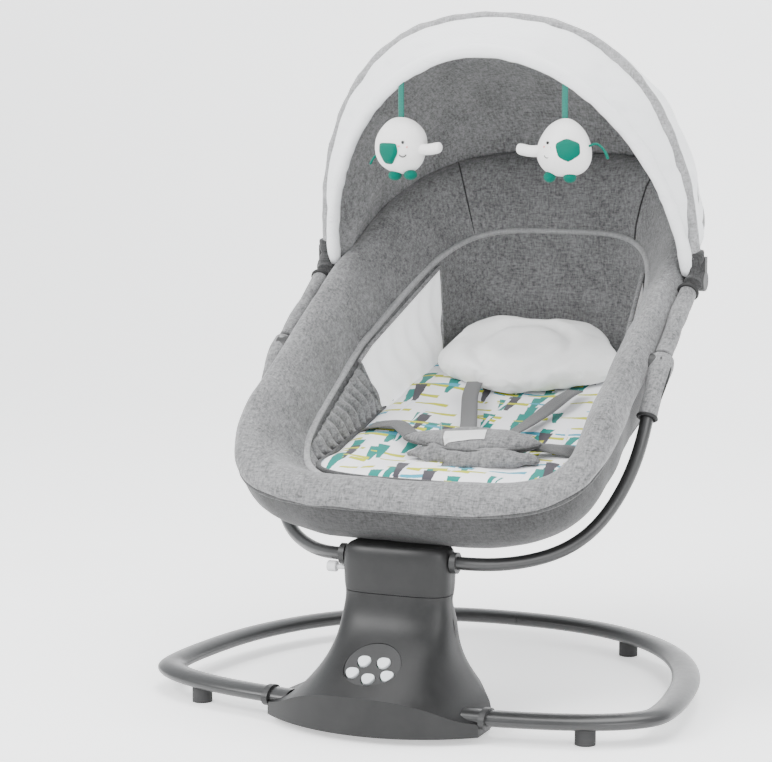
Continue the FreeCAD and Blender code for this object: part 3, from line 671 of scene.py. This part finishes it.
def skirt_point(u, v):
    """Below the outer seam the collar turns under towards the tub."""
    outer, under = around(SEAM, u), around(UNDER, u)
    share, drop = read_stops(SKIRT_PROFILE, v)
    plan = outer.lerp(under, share)
    return seat(plan.x, plan.y, drop)


def make_collar():
    """The padded roll round the seat opening, the seam piping and the inner binding."""
    top = grid("collar_top", collar_point, 220, 16, MELANGE, wrap_u=True, levels=1)
    # the skirt under the roll takes the darker melange: painted shade
    skirt = grid("collar_skirt", skirt_point, 220, 10, MELANGE_PAINTED_SHADE, wrap_u=True, levels=1)
    swell(top, ((0.090, 3.0), (0.030, 1.6), (0.012, 0.5)))
    swell(skirt, ((0.080, 3.0), (0.030, 1.5)))
    seam = [seat(p.x, p.y, 0) for p in (around(SEAM, i / 240) for i in range(240))]
    piping = tube("collar_piping", seam, 2.6, PIPING, closed=True)
    edge = [around(BINDING, i / 240) for i in range(240)]
    band = [seat(p.x, p.y, binding_height(p.y) - 1) for p in edge]
    binding = tube("inner_binding", band, 5.5, BINDING_CLOTH, closed=True, flat=0.75)
    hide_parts("rim_collar")
    for share, word in ((0.425, "right"), (0.575, "left")):
        line = [collar_point(share, k / 30) + seat(0, 0, 0.4) - seat(0, 0, 0) for k in range(1, 31)]
        # the closing seams take the darker melange: painted shade in the seam
        closing = tube("collar_seam_" + word, line, 1.2, MELANGE_PAINTED_SHADE)
        carry([closing], "seat")
    carry([top, skirt, piping, binding], "seat")


# ---- tub and its lining

def wall_point(top_loop, top_height, sag):
    """A wall that hangs from a loop to the floor outline, with a slight outward belly."""
    def point(u, v):
        upper, lower = around(top_loop, u), around(FLOOR, u)
        plan = upper.lerp(lower, v)
        middle = Vector((0, 330))
        outward = (plan - middle).normalized() * sag * math.sin(math.pi * v)
        plan = plan + outward
        up = mix(top_height, floor_height(lower.y), v)
        return seat(plan.x, plan.y, up)
    return point


def floor_point(u, v):
    """The bottom of the tub, from its edge to the middle, hanging a little."""
    edge = around(FLOOR, u)
    plan = Vector((0, 318)).lerp(edge, 1 - v)
    return seat(plan.x, plan.y, floor_height(plan.y) - 6 * math.sin(math.pi / 2 * v))


TUB_TOP = loop(196, 36, 700, 180, 240, 4.0, 3.0)


def make_tub():
    """The outside of the fabric tub: walls that belly out and a bottom."""
    hanging = wall_point(TUB_TOP, -40, 5)
    # the tub's outside and bottom take the darker melange: painted shade
    wall = grid("tub_outside", hanging, 160, 24, MELANGE_PAINTED_SHADE, wrap_u=True, levels=1)
    bottom = grid("tub_bottom", floor_point, 160, 10, MELANGE_PAINTED_SHADE, wrap_u=True, levels=1)
    swell(wall, ((0.110, 5.0), (0.040, 2.0)))
    swell(bottom, ((0.120, 4.0),))
    seam = [seat(p.x, p.y, floor_height(p.y)) for p in (around(FLOOR, i / 200) for i in range(200))]
    piping = tube("tub_piping", seam, 2.6, PIPING, closed=True)
    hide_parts("tub")
    carry([wall, bottom, piping], "seat")


LINING_TOP = loop(180, 93, 650, 258, 206, 5.0, 4.0, 0.22)
LINING_FLOOR = loop(157, 66, 574, 100, 140, 3.4, 3.4, 0.06)


def lining_point(u, v):
    """The inside of the tub: from the binding down to the floor beside the pad."""
    upper, lower = around(LINING_TOP, u), around(LINING_FLOOR, u)
    plan = upper.lerp(lower, smooth(v) * 0.5 + v * 0.5)
    up = mix(binding_height(upper.y) - 3, floor_height(lower.y) + 10, v)
    return seat(plan.x, plan.y, up)


def soft_lining(u, v):
    point = lining_point(u, v)
    centre = seat(0, 330, -100)
    inward = (centre - point).normalized()
    return point + inward * (ripple(point, 0.06, 2.0) - 2.0 * MM)


GATHER_START, GATHER_END, PLEATS = 96, 338, 15


def gathered_panel(side):
    """Cloth drawn into pleats on the side wall between the foot corner and the window."""
    def point(u, v):
        along = mix(GATHER_START, GATHER_END, u)
        up = mix(binding_height(along) - 6, floor_height(along) + 14, v)
        wander = 0.7 * math.sin(5 * v + 3 * u) + 0.5 * math.sin(11 * v - 7 * u)
        pleat = abs(math.sin(math.pi * PLEATS * u + wander)) ** 0.7
        drawn = math.sin(math.pi * min(max(v, 0.02), 0.98)) ** 0.5
        corner_in = 26 * (1 - smooth((along - GATHER_START) / 70))
        return side_wall(side, along, up, 4 + 9 * pleat * drawn + corner_in)
    return point


def make_lining():
    """Grey cloth inside the tub, with gathered panels beside the child's legs."""
    lining = grid("tub_lining", soft_lining, 320, 24, MELANGE, wrap_u=True)
    carry([lining], "seat")
    for side, word in SIDES:
        pleated = grid("gathered_panel_" + word, gathered_panel(side), 220, 26, MELANGE_DARK)
        carry([pleated], "seat")


WINDOW = ((334, -42), (566, -54), (516, -168), (330, -146))


def side_wall(side, along, up, lift):
    """A point just inside the side wall of the tub, lift millimetres towards the middle."""
    top = 180 * (1 - 0.22 * max(0.0, (along - 371) / 279))
    low = 157 * (1 - 0.06 * max(0.0, (along - 320) / 254))
    depth = (binding_height(along) - up) / (binding_height(along) - floor_height(along))
    x = mix(top, low, depth) - lift
    return seat(side * x, along, up)


def window_grid(side, lift):
    """The window's place on the side wall, from its four corners."""
    def point(u, v):
        top = Vector(WINDOW[0]).lerp(Vector(WINDOW[1]), u)
        low = Vector(WINDOW[3]).lerp(Vector(WINDOW[2]), u)
        spot = top.lerp(low, v)
        bulge = math.sin(math.pi * u) * math.sin(math.pi * v)
        folds = math.sin(u * 37 + 3 * math.sin(v * 5)) * 1.6 * math.sin(math.pi * v)
        return side_wall(side, spot.x, spot.y, lift + 3 * bulge + folds)
    return point


def make_windows():
    """Mesh windows let into the side walls, each with a narrow border."""
    for side, word in SIDES:
        inside = grid("mesh_window_" + word, window_grid(side, 10), 60, 24, MESH)
        corners = [Vector(WINDOW[k]) for k in (0, 1, 2, 3)]
        outline = []
        for k in range(4):
            for i in range(24):
                spot = corners[k].lerp(corners[(k + 1) % 4], i / 24)
                outline.append(side_wall(side, spot.x, spot.y, 10))
        border = tube("window_border_" + word, outline, 3.0, MELANGE_DARK, closed=True, flat=0.6)
        carry([inside, border], "seat")
        if side > 0:
            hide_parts("mesh_windows")


# ---- seat pad, pillow, harness

PAD_HALF, PAD_LONG, PAD_THICK = 155, 462, 18


def curled(x, along, up):
    """A point of the pad: its foot end reaches up over the binding."""
    share = smooth((90 - along) / 90)
    return on_pad(x, along - 13 * share, up + 9 * share)


def pad_surface(u, v, side):
    """Top or bottom of the pad: v runs from the middle line out to the edge."""
    edge = around(PAD_SHAPE, u)
    centre = Vector((0, min(max(edge.y, 120), PAD_LONG - 120)))
    plan = centre.lerp(edge, v)
    thick = (1 - v ** 6) ** 0.5
    dish = 7 * smooth(1 - v)
    up = (PAD_THICK / 2) * thick * side - PAD_THICK / 2 - (dish if side > 0 else 0)
    return curled(plan.x, plan.y, up)


PAD_SHAPE = loop(PAD_HALF, 0, PAD_LONG, 70, 90, 3.6, 3.6)


def make_pad():
    """The printed seat pad with piping round its edge and a grey underside."""
    top = grid("seat_pad_top", lambda u, v: pad_surface(u, v, 1), 200, 26, PRINT, wrap_u=True, levels=1)
    under = grid("seat_pad_under", lambda u, v: pad_surface(u, v, -1), 200, 8, MELANGE_LIGHT, wrap_u=True)
    swell(top, ((0.070, 5.0), (0.025, 1.5)))
    outline = [around(PAD_SHAPE, i / 240) for i in range(240)]
    edge = [curled(p.x * 1.006, p.y - 1, -PAD_THICK / 2 + 2) for p in outline]
    piping = tube("seat_pad_piping", edge, 3.0, PIPING, closed=True)
    lower = [p + (on_pad(0, 0, -9) - on_pad(0, 0, 0)) for p in edge]
    second = tube("seat_pad_binding", lower, 5.5, MELANGE_LIGHT, closed=True)
    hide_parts("seat_pad")
    carry([top, under, piping, second], "seat")


def lens(name, centre, half_length, half_width, thick, material, shape, count=(72, 18)):
    """A stuffed flat shape: shape(angle) scales its outline."""
    def point(u, v):
        angle = 2 * math.pi * u
        reach = shape(angle)
        side = 1 if v < 0.5 else -1
        share = v * 2 if v < 0.5 else (1 - v) * 2
        x = half_length * reach * math.cos(angle) * share
        y = half_width * reach * math.sin(angle) * share
        up = thick * (max(0.0, 1 - share ** 2.6)) ** 0.5 * side
        return on_pad(centre[0] + x, centre[1] + y, centre[2] + up)
    piece = grid(name, point, count[0], count[1] * 2, material, wrap_u=True)
    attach(piece, "seat")
    return piece


def pillow_shape(angle):
    """A half moon: full and arched at the head side, wavy at the foot side."""
    wave = 0.05 * math.cos(3 * angle + 0.6) - 0.04 * math.sin(5 * angle)
    return 1 + wave + (0.07 * max(0.0, math.sin(angle)))


def make_pillow():
    """White plush pillow with a raised horseshoe round the head's place."""
    pillow = lens("head_pillow_cover", (0, 372, 26), 118, 74, 24, WHITE_PLUSH, pillow_shape, (96, 24))
    lean = math.radians(14)
    for vertex in pillow.data.vertices:
        local = vertex.co - on_pad(0, 362, 0)
        x = local.x / MM
        along = (local.y * math.cos(PAD_TILT) + local.z * math.sin(PAD_TILT)) / MM
        ring = math.hypot(x / 62, along / 52)
        dent = math.exp(-((ring - 1.0) / 0.16) ** 2) * 10 + math.exp(-(ring / 0.6) ** 2) * 6
        upper = (local.z * math.cos(PAD_TILT) - local.y * math.sin(PAD_TILT)) / MM - 26
        if upper > 0:
            upper -= dent * min(1, upper / 8)
        turned = along * math.cos(lean) - upper * math.sin(lean)
        raised = along * math.sin(lean) + upper * math.cos(lean)
        vertex.co = on_pad(x, 362 + turned, 26 + raised)
    swell(pillow, ((0.040, 3.0), (0.018, 1.2)))
    puff(pillow, 4.5, 2.0, 6)
    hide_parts("head_pillow")


def strap(name, points, width, thick, material, across=None):
    """A flat webbing strap along points; across gives its width direction at a share of its length."""
    line = spline(points, 60)
    corners = [(w, -1) for w in (-1, -0.5, 0, 0.5, 1)] + [(w, 1) for w in (1, 0.5, 0, -0.5, -1)]
    rings = []
    for i, p in enumerate(line):
        ahead = (line[min(i + 1, 59)] - line[max(i - 1, 0)]).normalized()
        wide = across(i / 59) if across else Vector((1, 0, 0))
        wide = (wide - ahead * wide.dot(ahead)).normalized()
        lift = wide.cross(ahead)
        rings.append([p + wide * w * width / 2 * MM + lift * t * thick / 2 * MM for w, t in corners])
    piece = skin(name, rings, material)
    carry([piece], "seat")
    return piece


STRAP_WIDTH = 21


def make_harness():
    """Shoulder, waist and crotch straps that meet under the belt pad."""
    left_run = ((-54, 312, 8), (-42, 262, 8), (-22, 205, 7), (-2, 148, 9), (6, 112, 12))
    right_run = ((88, 300, 8), (84, 262, 12), (72, 207, 8), (62, 150, 9), (56, 114, 12))
    left = [on_pad(*p) for p in left_run]
    right = [on_pad(*p) for p in right_run]
    first = strap("shoulder_strap_left", left, STRAP_WIDTH, 1.8, STRAP)

    def folded(share):
        return Vector((1, 0.5 * math.sin(3 * share), 0.3 * share))

    strap("shoulder_strap_right", right, STRAP_WIDTH, 1.8, STRAP, across=folded)
    waist_left = ((-148, 158, -6), (-132, 152, 3), (-98, 147, 9), (-72, 122, 9), (-52, 100, 9))
    waist_right = ((149, 122, -6), (136, 108, 3), (118, 102, 8), (92, 98, 9))

    def upright(share):
        return Vector((0.25, 0.97, 0.25))

    strap("waist_strap_left", [on_pad(*p) for p in waist_left], STRAP_WIDTH, 1.8, STRAP, across=upright)
    strap("waist_strap_right", [on_pad(*p) for p in waist_right], STRAP_WIDTH, 1.8, STRAP, across=upright)
    crotch = [on_pad(22, 16, -4), on_pad(22, 32, 3), on_pad(24, 48, 6), on_pad(26, 66, 7)]
    strap("crotch_strap", crotch, 30, 2.0, STRAP)
    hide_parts("harness_straps")


BELT_X, BELT_ALONG = 26, 88
BELT_LONG, BELT_WIDE = 84, 32


def belt_shape(angle):
    return 1 + 0.05 * math.cos(4 * angle)


def make_belt():
    """The belt pad: two melange layers, the lower one crumpled, and a blank label."""
    lower = lens("belt_pad_lower", (BELT_X + 8, BELT_ALONG - 26, 6), 82, 26, 8, MELANGE, belt_shape)
    swell(lower, ((0.030, 7.0), (0.014, 3.0)))
    upper = lens("belt_pad_upper", (BELT_X, BELT_ALONG, 17), BELT_LONG, BELT_WIDE, 8, MELANGE, belt_shape)
    swell(upper, ((0.050, 3.0), (0.020, 1.2)))
    seam = []
    for i in range(120):
        angle = 2 * math.pi * i / 120
        x = BELT_LONG * belt_shape(angle) * math.cos(angle)
        along = BELT_WIDE * belt_shape(angle) * math.sin(angle)
        seam.append(on_pad(BELT_X + x, BELT_ALONG + along, 17))
    edge = tube("belt_pad_edge", seam, 1.8, PIPING, closed=True)

    for piece in (lower, upper):
        puff(piece, 4, 2.0, 4)
    corners = [v.co for v in upper.data.vertices]
    surface = BVHTree.FromPolygons(corners, [p.vertices for p in upper.data.polygons])
    out_of_pad = (on_pad(0, 0, 1) - on_pad(0, 0, 0)).normalized()

    def label_point(u, v):
        x, y = (u - 0.5) * 52, (v - 0.5) * 27
        turned = (x * 0.97 - y * 0.22, x * 0.22 + y * 0.97)
        above = on_pad(BELT_X - 4 + turned[0], BELT_ALONG - 11 + turned[1], 60)
        hit = surface.ray_cast(above, -out_of_pad)[0]
        return (hit or above) + out_of_pad * 1.2 * MM

    label = grid("belt_label", label_point, 20, 8, LABEL)
    for piece in (edge, label):
        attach(piece, "seat")
    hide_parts("belt_pad")


# ---- canopy

BOW_SHAPES = {
    "rear": (232, 290, 2.65, 50.2),
    "main": (249, 328, 2.4, 99.7),
    "front": (240, 302, 1.95, 110.4),
}


def bow_point(shape, u, inset=0.0):
    """A point on a bow's centre line; u runs from the right hinge over the top to the left one."""
    half, reach, exponent, angle = shape
    turn = math.pi * min(max(u, 0.0), 1.0)
    c, s = math.cos(turn), math.sin(turn)
    x = (half - inset) * math.copysign(abs(c) ** (2 / exponent), c)
    out = (reach - inset) * max(s, 0.0) ** (2 / exponent)
    tilt = math.radians(angle)
    return PIVOT + Vector((x, out * math.cos(tilt), out * math.sin(tilt))) * MM


def even_shares(shape, count):
    """Shares u that divide a bow into equal lengths."""
    steps = 1200
    line = [bow_point(shape, i / steps) for i in range(steps + 1)]
    return [(k + share) / steps for k, share in even_places(line, count)]


COLUMNS = 96


def bow_line(name, inset=0.0):
    shape = BOW_SHAPES[name]
    return [bow_point(shape, u, inset) for u in even_shares(shape, COLUMNS)]


CANOPY_START = 452


def head_edge(inset):
    """Where the canopy is sewn to the collar, from the right hinge round the head to the left one."""
    line = [around(SEAM, i / 900) for i in range(900)]
    head = [p for p in line if p.y >= CANOPY_START]
    points = even(head, COLUMNS)
    sewn = []
    for p in points:
        headward = smooth((p.y - CANOPY_START) / 200)
        sewn.append(seat(p.x * (1 - inset / 230), p.y - inset * headward, 2))
    return sewn


def between_lines(first, second, bulge, waves):
    """A cloth surface stretched from one line to the next, with a belly and small tension waves."""
    def point(u, v):
        k = min(int(u * COLUMNS + 0.5), COLUMNS)
        p = first[k].lerp(second[k], v)
        outward = p - PIVOT
        outward.x *= 0.6
        spread = (first[k] - second[k]).length
        if outward.length > 1e-4:
            outward.normalize()
        belly = math.sin(math.pi * v) * bulge * spread
        wave = math.sin(math.pi * v) ** 0.5 * waves * MM
        ends = 1 + 2.5 * abs(2 * u - 1) ** 3
        wrinkle = noise.noise(Vector((u * 30, v * 1.3, bulge * 40))) * wave * ends
        return p + outward * (belly + wrinkle)
    return point


def panel(name, first, second, bulge, material, rows, waves):
    """One canopy panel, stretched between two lines and baked into the row frame."""
    piece = grid(name, between_lines(first, second, bulge, waves), COLUMNS, rows, material)
    subdivide(piece)
    middle = COLUMNS // 2
    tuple(first[middle])
    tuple(second[middle])
    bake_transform(piece)
    return piece


def line_length(line):
    return sum((q - p).length for p, q in zip(line, line[1:]))


def declare_panel(first, second):
    width = max(line_length(first), line_length(second))


def make_canopy():
    """Net outside and grey lining inside, in three panels stretched from the head edge to the bows and between
    them.
    """
    spans = (
        ("rear_panel", None, "rear", 0.10, ("seat", "rear_bow"), "canopy_rear_panel", 8),
        ("main_panel", "rear", "main", 0.06, ("rear_bow", "main_bow"), "canopy_main_panel", 14),
        ("visor", "main", "front", 0.03, ("main_bow", "front_bow"), "canopy_visor", 8),
    )
    for word, first, second, bulge, bodies, node, rows in spans:
        for layer, inset, material, waves in (("net", -4.6, NET, 4.0), ("lining", 5.5, MELANGE_DARK, 2.0)):
            start = bow_line(first, inset) if first else head_edge(max(inset, 0) + 2)
            end = bow_line(second, inset)
            name = "canopy_" + word + "_" + layer
            piece = panel(name, start, end, bulge, material, rows, waves)
            declare_panel(start, end)
            if layer == "net":
                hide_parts(node)


def make_bow_channels():
    """The sewn sleeves that hold the bows."""
    for word, radius, material, body in (
        ("front", 8.5, NET, "front_bow"),
        ("main", 7.5, MELANGE_LIGHT, "main_bow"),
        ("rear", 6.5, MELANGE_DARK, "rear_bow"),
    ):
        line = bow_line(word)[1:-1]
        piece = tube("bow_channel_" + word, line, radius, material, sides=14)
        swell(piece, ((0.012, 1.3), (0.030, 1.2)))
        carry([piece], body)


# ---- sleeves, rings and tabs at the sides

ARM_TOP = ((248, 163, 345), (249, 174, 362), (250, 190, 380), (250, 205, 394), (249, 220, 408))
RIM_LINE = ((249, 222, 410), (249, 250, 429), (248, 290, 455), (248, 330, 480))


def tower(x, y, z):
    """Millimetres from the foot of the swivel axis to the row frame."""
    return Vector((x * MM, TOWER_Y + y * MM, z * MM))


def ring(name, centre, ahead, radius, thick, material):
    """A thin round ring square to ahead."""
    side = ahead.cross(Vector((1, 0, 0))).normalized()
    lift = side.cross(ahead).normalized()
    line = []
    for i in range(28):
        angle = 2 * math.pi * i / 28
        line.append(centre + (side * math.cos(angle) + lift * math.sin(angle)) * radius * MM)
    return tube(name, line, thick, material, closed=True, sides=8)


def make_side_sleeves():
    """Melange sleeves over the arm tops, the recline hubs and the rim up to the canopy hinge."""
    for side, word in SIDES:
        arm = spline([tower(side * x, y, z) for x, y, z in ARM_TOP], 26)
        rim = spline([tower(side * x, y, z) for x, y, z in RIM_LINE], 30)
        lower = tube("arm_sleeve_" + word, arm, 11.2, MELANGE, sides=20)
        for vertex in lower.data.vertices:
            near = (vertex.co - tower(side * 244, 212, 400)).length / MM
            bulge = 1 + 0.45 * smooth(1 - near / 46)
            centre = min(arm, key=lambda p: (p - vertex.co).length)
            vertex.co = centre + (vertex.co - centre) * bulge
        upper = tube("rim_sleeve_" + word, rim, 11, MELANGE, sides=18)
        for piece in (lower, upper):
            swell(piece, ((0.030, 1.6), (0.012, 0.8)))
            subdivide(piece)
        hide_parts("arm_sleeves")
        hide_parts("rim_sleeves")
        slit_line = spline([tower(side * x, y, z) for x, y, z in
                            ((256, 216, 414), (262, 205, 400), (262, 192, 384), (259, 178, 366))], 20)
        slit = tube("sleeve_slit_" + word, slit_line, 2.2, INK, sides=8, flat=0.7)
        mouth = ring("sleeve_mouth_" + word, arm[0], (arm[1] - arm[0]).normalized(), 11.0, 2.2, INK)
        collar = ring("hinge_ring_" + word, rim[-2], (rim[-1] - rim[-2]).normalized(), 11.5, 2.4, INK)
        tab_line = spline([PIVOT + Vector((side * x, y, z)) * MM for x, y, z in
                           ((249, -14, -4), (250, -5, 4), (249, -2, 20), (248, -5, 38))], 16)
        # the hinge tab takes the darker melange: painted shade
        tab = tube("hinge_tab_" + word, tab_line, 12, MELANGE_PAINTED_SHADE, sides=16, flat=0.9)
        swell(tab, ((0.020, 2.0),))
        subdivide(tab)
        carry([lower, slit, mouth], "swivel")
        carry([upper, collar], "seat")
        carry([tab], "main_bow")


# ---- hanging toys

HANG_Y, HANG_Z = 0.0261, 0.7407
BODY_DROP = 0.0857


def blob(name, centre, radii, material, columns=40, rows=24, shape=None):
    """A stuffed round shape; shape(direction) scales its radius."""
    def point(u, v):
        turn, rise = 2 * math.pi * u, math.pi * (v - 0.5)
        way = Vector((math.cos(turn) * math.cos(rise), math.sin(turn) * math.cos(rise), math.sin(rise)))
        grow = shape(way) if shape else 1.0
        return centre + Vector((way.x * radii[0], way.y * radii[1], way.z * radii[2])) * grow * MM
    return grid(name, point, columns, rows, material, wrap_u=True)


def toy_front(middle, x, z, lift, pear):
    """A point on the front of a toy's body, in millimetres from its middle."""
    wide = 34 * (1 + pear * (-z / 36))
    depth = max(0.0, 1 - (x / wide) ** 2 - (z / 36) ** 2) ** 0.5
    return middle + Vector((x, -26 * depth - lift, z)) * MM


def patch(name, middle, outline, material, lift, pear):
    """A flat sewn-on shape on the front of a toy, from its outline."""
    cx = sum(p[0] for p in outline) / len(outline)
    cz = sum(p[1] for p in outline) / len(outline)
    rounded = []
    for k, p in enumerate(outline):
        q = outline[(k + 1) % len(outline)]
        rounded += [(mix(p[0], q[0], t), mix(p[1], q[1], t)) for t in (0.12, 0.37, 0.63, 0.88)]
    count = len(rounded)

    def point(u, v):
        k = round(u * count) % count
        share = 1 - v
        x, z = mix(cx, rounded[k][0], share), mix(cz, rounded[k][1], share)
        up = lift * (1 - share ** 6) ** 0.5
        return toy_front(middle, x, z, up + 0.3, pear)

    piece = grid(name, point, count, 6, material, wrap_u=True)
    subdivide(piece, 1)
    return piece


def make_toy(word, side, pear, ear, feet, eye, tail):
    """A little plush elephant with its head, ear, trunk, feet and tail; side points to its trunk."""
    body_name = "hanging_toy_" + word
    place_x = 0.108 if word == "right" else -0.108
    middle = Vector((place_x, HANG_Y, HANG_Z - BODY_DROP))
    pieces = []
    body = blob("toy_body_" + word, middle, (34, 26, 36), TOY_WHITE,
                shape=lambda way: 1 + pear * (-way.z) * (1 - way.z * way.z))
    swell(body, ((0.030, 2.5),))
    pieces.append(body)
    start = middle + Vector((side * 24, -6, -3)) * MM
    halfway = start + Vector((side * 16, -3, -1)) * MM
    tip = start + Vector((side * 30, -4, 1.5)) * MM
    trunk_line = spline([start, halfway, tip], 14)
    trunk = tube("toy_trunk_" + word, trunk_line, 7.2, TOY_WHITE, sides=16)
    subdivide(trunk)
    pieces.append(trunk)
    pieces.append(blob("toy_trunk_tip_" + word, trunk_line[-1], (5, 6.6, 6.8), TOY_WHITE, 20, 12))
    pieces.append(patch("toy_ear_" + word, middle, ear, TOY_TEAL, 3.2, pear))
    for k, (x, z, wide, high) in enumerate(feet):
        spot = middle + Vector((x, -6, z)) * MM
        pieces.append(blob("toy_foot_" + word + str(k), spot, (wide, 9, high), TOY_TEAL, 24, 14))
    spot = toy_front(middle, eye[0], eye[1], 0.5, pear)
    pieces.append(blob("toy_eye_" + word, spot, (2.0, 1.2, 2.0), INK, 16, 10))
    smile = []
    for i in range(9):
        angle = math.radians(200 + 17.5 * i)
        x = eye[0] + 4.2 * math.cos(angle)
        z = eye[1] - 14 + 4.2 * math.sin(angle)
        smile.append(toy_front(middle, x, z, 1.6, pear))
    pieces.append(tube("toy_smile_" + word, smile, 0.8, INK, sides=6))
    for k, (x, z) in enumerate(((-5, -5), (5, -6))):
        spot = toy_front(middle, eye[0] + x, eye[1] + z, 0.4, pear)
        pieces.append(blob("toy_cheek_" + word + str(k), spot, (1.3, 0.8, 1.3), BLUSH, 12, 8))
    line = [middle + Vector(p) * MM for p in tail]
    tail_line = spline(line, 12)
    pieces.append(tube("toy_tail_" + word, tail_line, 2.4, TOY_TEAL, sides=8, flat=0.6))
    ribbon = spline([Vector((place_x, HANG_Y, HANG_Z)), Vector((place_x, HANG_Y - 0.001, HANG_Z - 0.026)),
                     Vector((place_x, HANG_Y, HANG_Z - 0.052))], 12)
    loop_piece = tube("toy_loop_" + word, ribbon, 4.0, RIBBON, sides=8, flat=0.25)
    pieces.append(loop_piece)
    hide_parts("toy_" + word)
    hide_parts("toy_ribbon_" + word)
    for piece in pieces:
        carry([piece], body_name)


def make_toys():
    """Two toys, near the right and left of the canopy's front edge, trunk to trunk."""
    make_toy("left", 1, 0.0,
             ear=((-21, 4), (4, 4), (6, -8), (-3, -23), (-15, -22), (-22, -8)),
             feet=((-6, -37, 8.5, 6.5), (15, -36, 8.5, 6.5)), eye=(12, 5),
             tail=((-30, -2, -10), (-36, -4, -16), (-40, -6, -24)))
    make_toy("right", -1, 0.16,
             ear=((-4, 6), (10, 13), (25, 7), (26, -8), (13, -20), (-2, -12)),
             feet=((-17, -35, 7.5, 7.0), (9, -35, 8.0, 7.0)), eye=(-14, 7),
             tail=((30, -2, 2), (42, -4, 6), (52, -4, -2), (57, -5, -12)))


# ---- signs on the buttons

PANEL_TILT = math.radians(38.3)


def button_sign(word, strokes):
    """Small plain strokes on a button; each stroke is a list of (sideways, up the slope)."""
    low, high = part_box("button_" + word)
    centre = (low + high) / 2
    to_top = Vector((0, -math.sin(PANEL_TILT), math.cos(PANEL_TILT)))
    up_slope = Vector((0, math.cos(PANEL_TILT), math.sin(PANEL_TILT)))
    for k, stroke in enumerate(strokes):
        line = [centre + (Vector((x, 0, 0)) + up_slope * y + to_top * 2.55) * MM for x, y in stroke]
        sign = tube("sign_" + word + str(k), line, 0.42, DARK, sides=6, flat=0.5)
        carry([sign], word + "_button")


def arc(x, y, radius, first, last):
    angles = [math.radians(mix(first, last, i / 12)) for i in range(13)]
    return [(x + radius * math.cos(a), y + radius * math.sin(a)) for a in angles]


def make_signs():
    """Generic signs: power, clock, loudness, note and swing."""
    button_sign("power", [arc(0, 0, 3, 120, 420), [(0, 1), (0, 3.8)]])
    button_sign("timer", [arc(0, 0, 3, 0, 360), [(0, 2), (0, 0)], [(0, 0), (1.6, 0)]])
    button_sign("volume", [[(-2.6, -1.2), (-2.6, 1.2)], [(-0.8, -2), (-0.8, 2)], arc(0, 0, 2.6, -45, 45)])
    button_sign("music", [[(1.2, 3), (1.2, -2)], [(1.2, 3), (2.8, 2)], arc(0.1, -2, 1.1, 0, 360)])
    button_sign("swing", [arc(0, 2, 3.6, 220, 320), [(0, 2.5), (0, -1.6)]])


# ---- floor, light and camera

def make_stage():
    """A plain pale floor and backdrop."""
    def sweep_point(u, v):
        x = (u - 0.5) * 9
        run = v * 7.5 - 3.4
        bend = max(0.0, run - 2.0)
        if bend <= 0:
            return Vector((x, run, 0))
        angle = min(bend / 1.2, math.pi / 2)
        rise = max(0.0, bend - 1.2 * math.pi / 2)
        return Vector((x, 2.0 + 1.2 * math.sin(angle), 1.2 * (1 - math.cos(angle)) + rise))

    m = Nodes("pale_floor")
    shade = m.noise(m.place(), 3.0, 2.0)
    m.color(m.ramp(shade, ((0.3, (0.93, 0.93, 0.93)), (0.7, (0.95, 0.95, 0.95)))))
    m.roughness(shade, 0.55, 0.7)
    m.set(Emission_Color=(1.0, 1.0, 1.0, 1.0), Emission_Strength=0.7)
    floor = grid("floor", sweep_point, 24, 120, m.material)


def area_light(name, place, aim, size, power, tint=(1, 1, 1)):
    data = bpy.data.lights.new(name, "AREA")
    data.shape = "RECTANGLE"
    data.size, data.size_y = size
    data.energy = power
    data.color = tint
    light = bpy.data.objects.new(name, data)
    light.location = place
    light.rotation_euler = (Vector(aim) - Vector(place)).to_track_quat("-Z", "Y").to_euler()
    bpy.context.scene.collection.objects.link(light)


def make_lights():
    """A big soft key from the upper left, a fill from the right and a gentle top light."""
    centre = (0, 0, 0.4)
    area_light("key", (-1.9, -2.4, 2.4), centre, (1.8, 1.8), 140)
    area_light("fill", (2.3, -2.0, 1.4), centre, (2.0, 2.0), 54)
    area_light("top", (0.1, 0.3, 2.7), centre, (2.2, 2.2), 96)
    world = bpy.data.worlds.new("studio")
    world.use_nodes = True
    world.node_tree.nodes["Background"].inputs["Color"].default_value = (0.86, 0.88, 0.90, 1)
    world.node_tree.nodes["Background"].inputs["Strength"].default_value = 1.5
    bpy.context.scene.world = world


CAMERA_PLACE = Vector((1.0931, -2.85355, 0.7710))
CAMERA_AIM = Vector((-0.0169, -0.23765, 0.3942))
CAMERA_LENS = 115.64


def make_camera():
    """The camera stands near the foot end, a little to the right, looking slightly down."""
    data = bpy.data.cameras.new("camera")
    data.sensor_width = 36
    data.lens = CAMERA_LENS
    camera = bpy.data.objects.new("camera", data)
    camera.location = CAMERA_PLACE
    camera.rotation_euler = (CAMERA_AIM - CAMERA_PLACE).to_track_quat("-Z", "Y").to_euler()
    bpy.context.scene.collection.objects.link(camera)
    bpy.context.scene.camera = camera


# ---- build

dress_cad_nodes()
make_collar()
make_tub()
make_lining()
make_windows()
make_pad()
make_pillow()
make_harness()
make_belt()
make_canopy()
make_bow_channels()
make_side_sleeves()
make_toys()
make_signs()
make_stage()
make_lights()
make_camera()
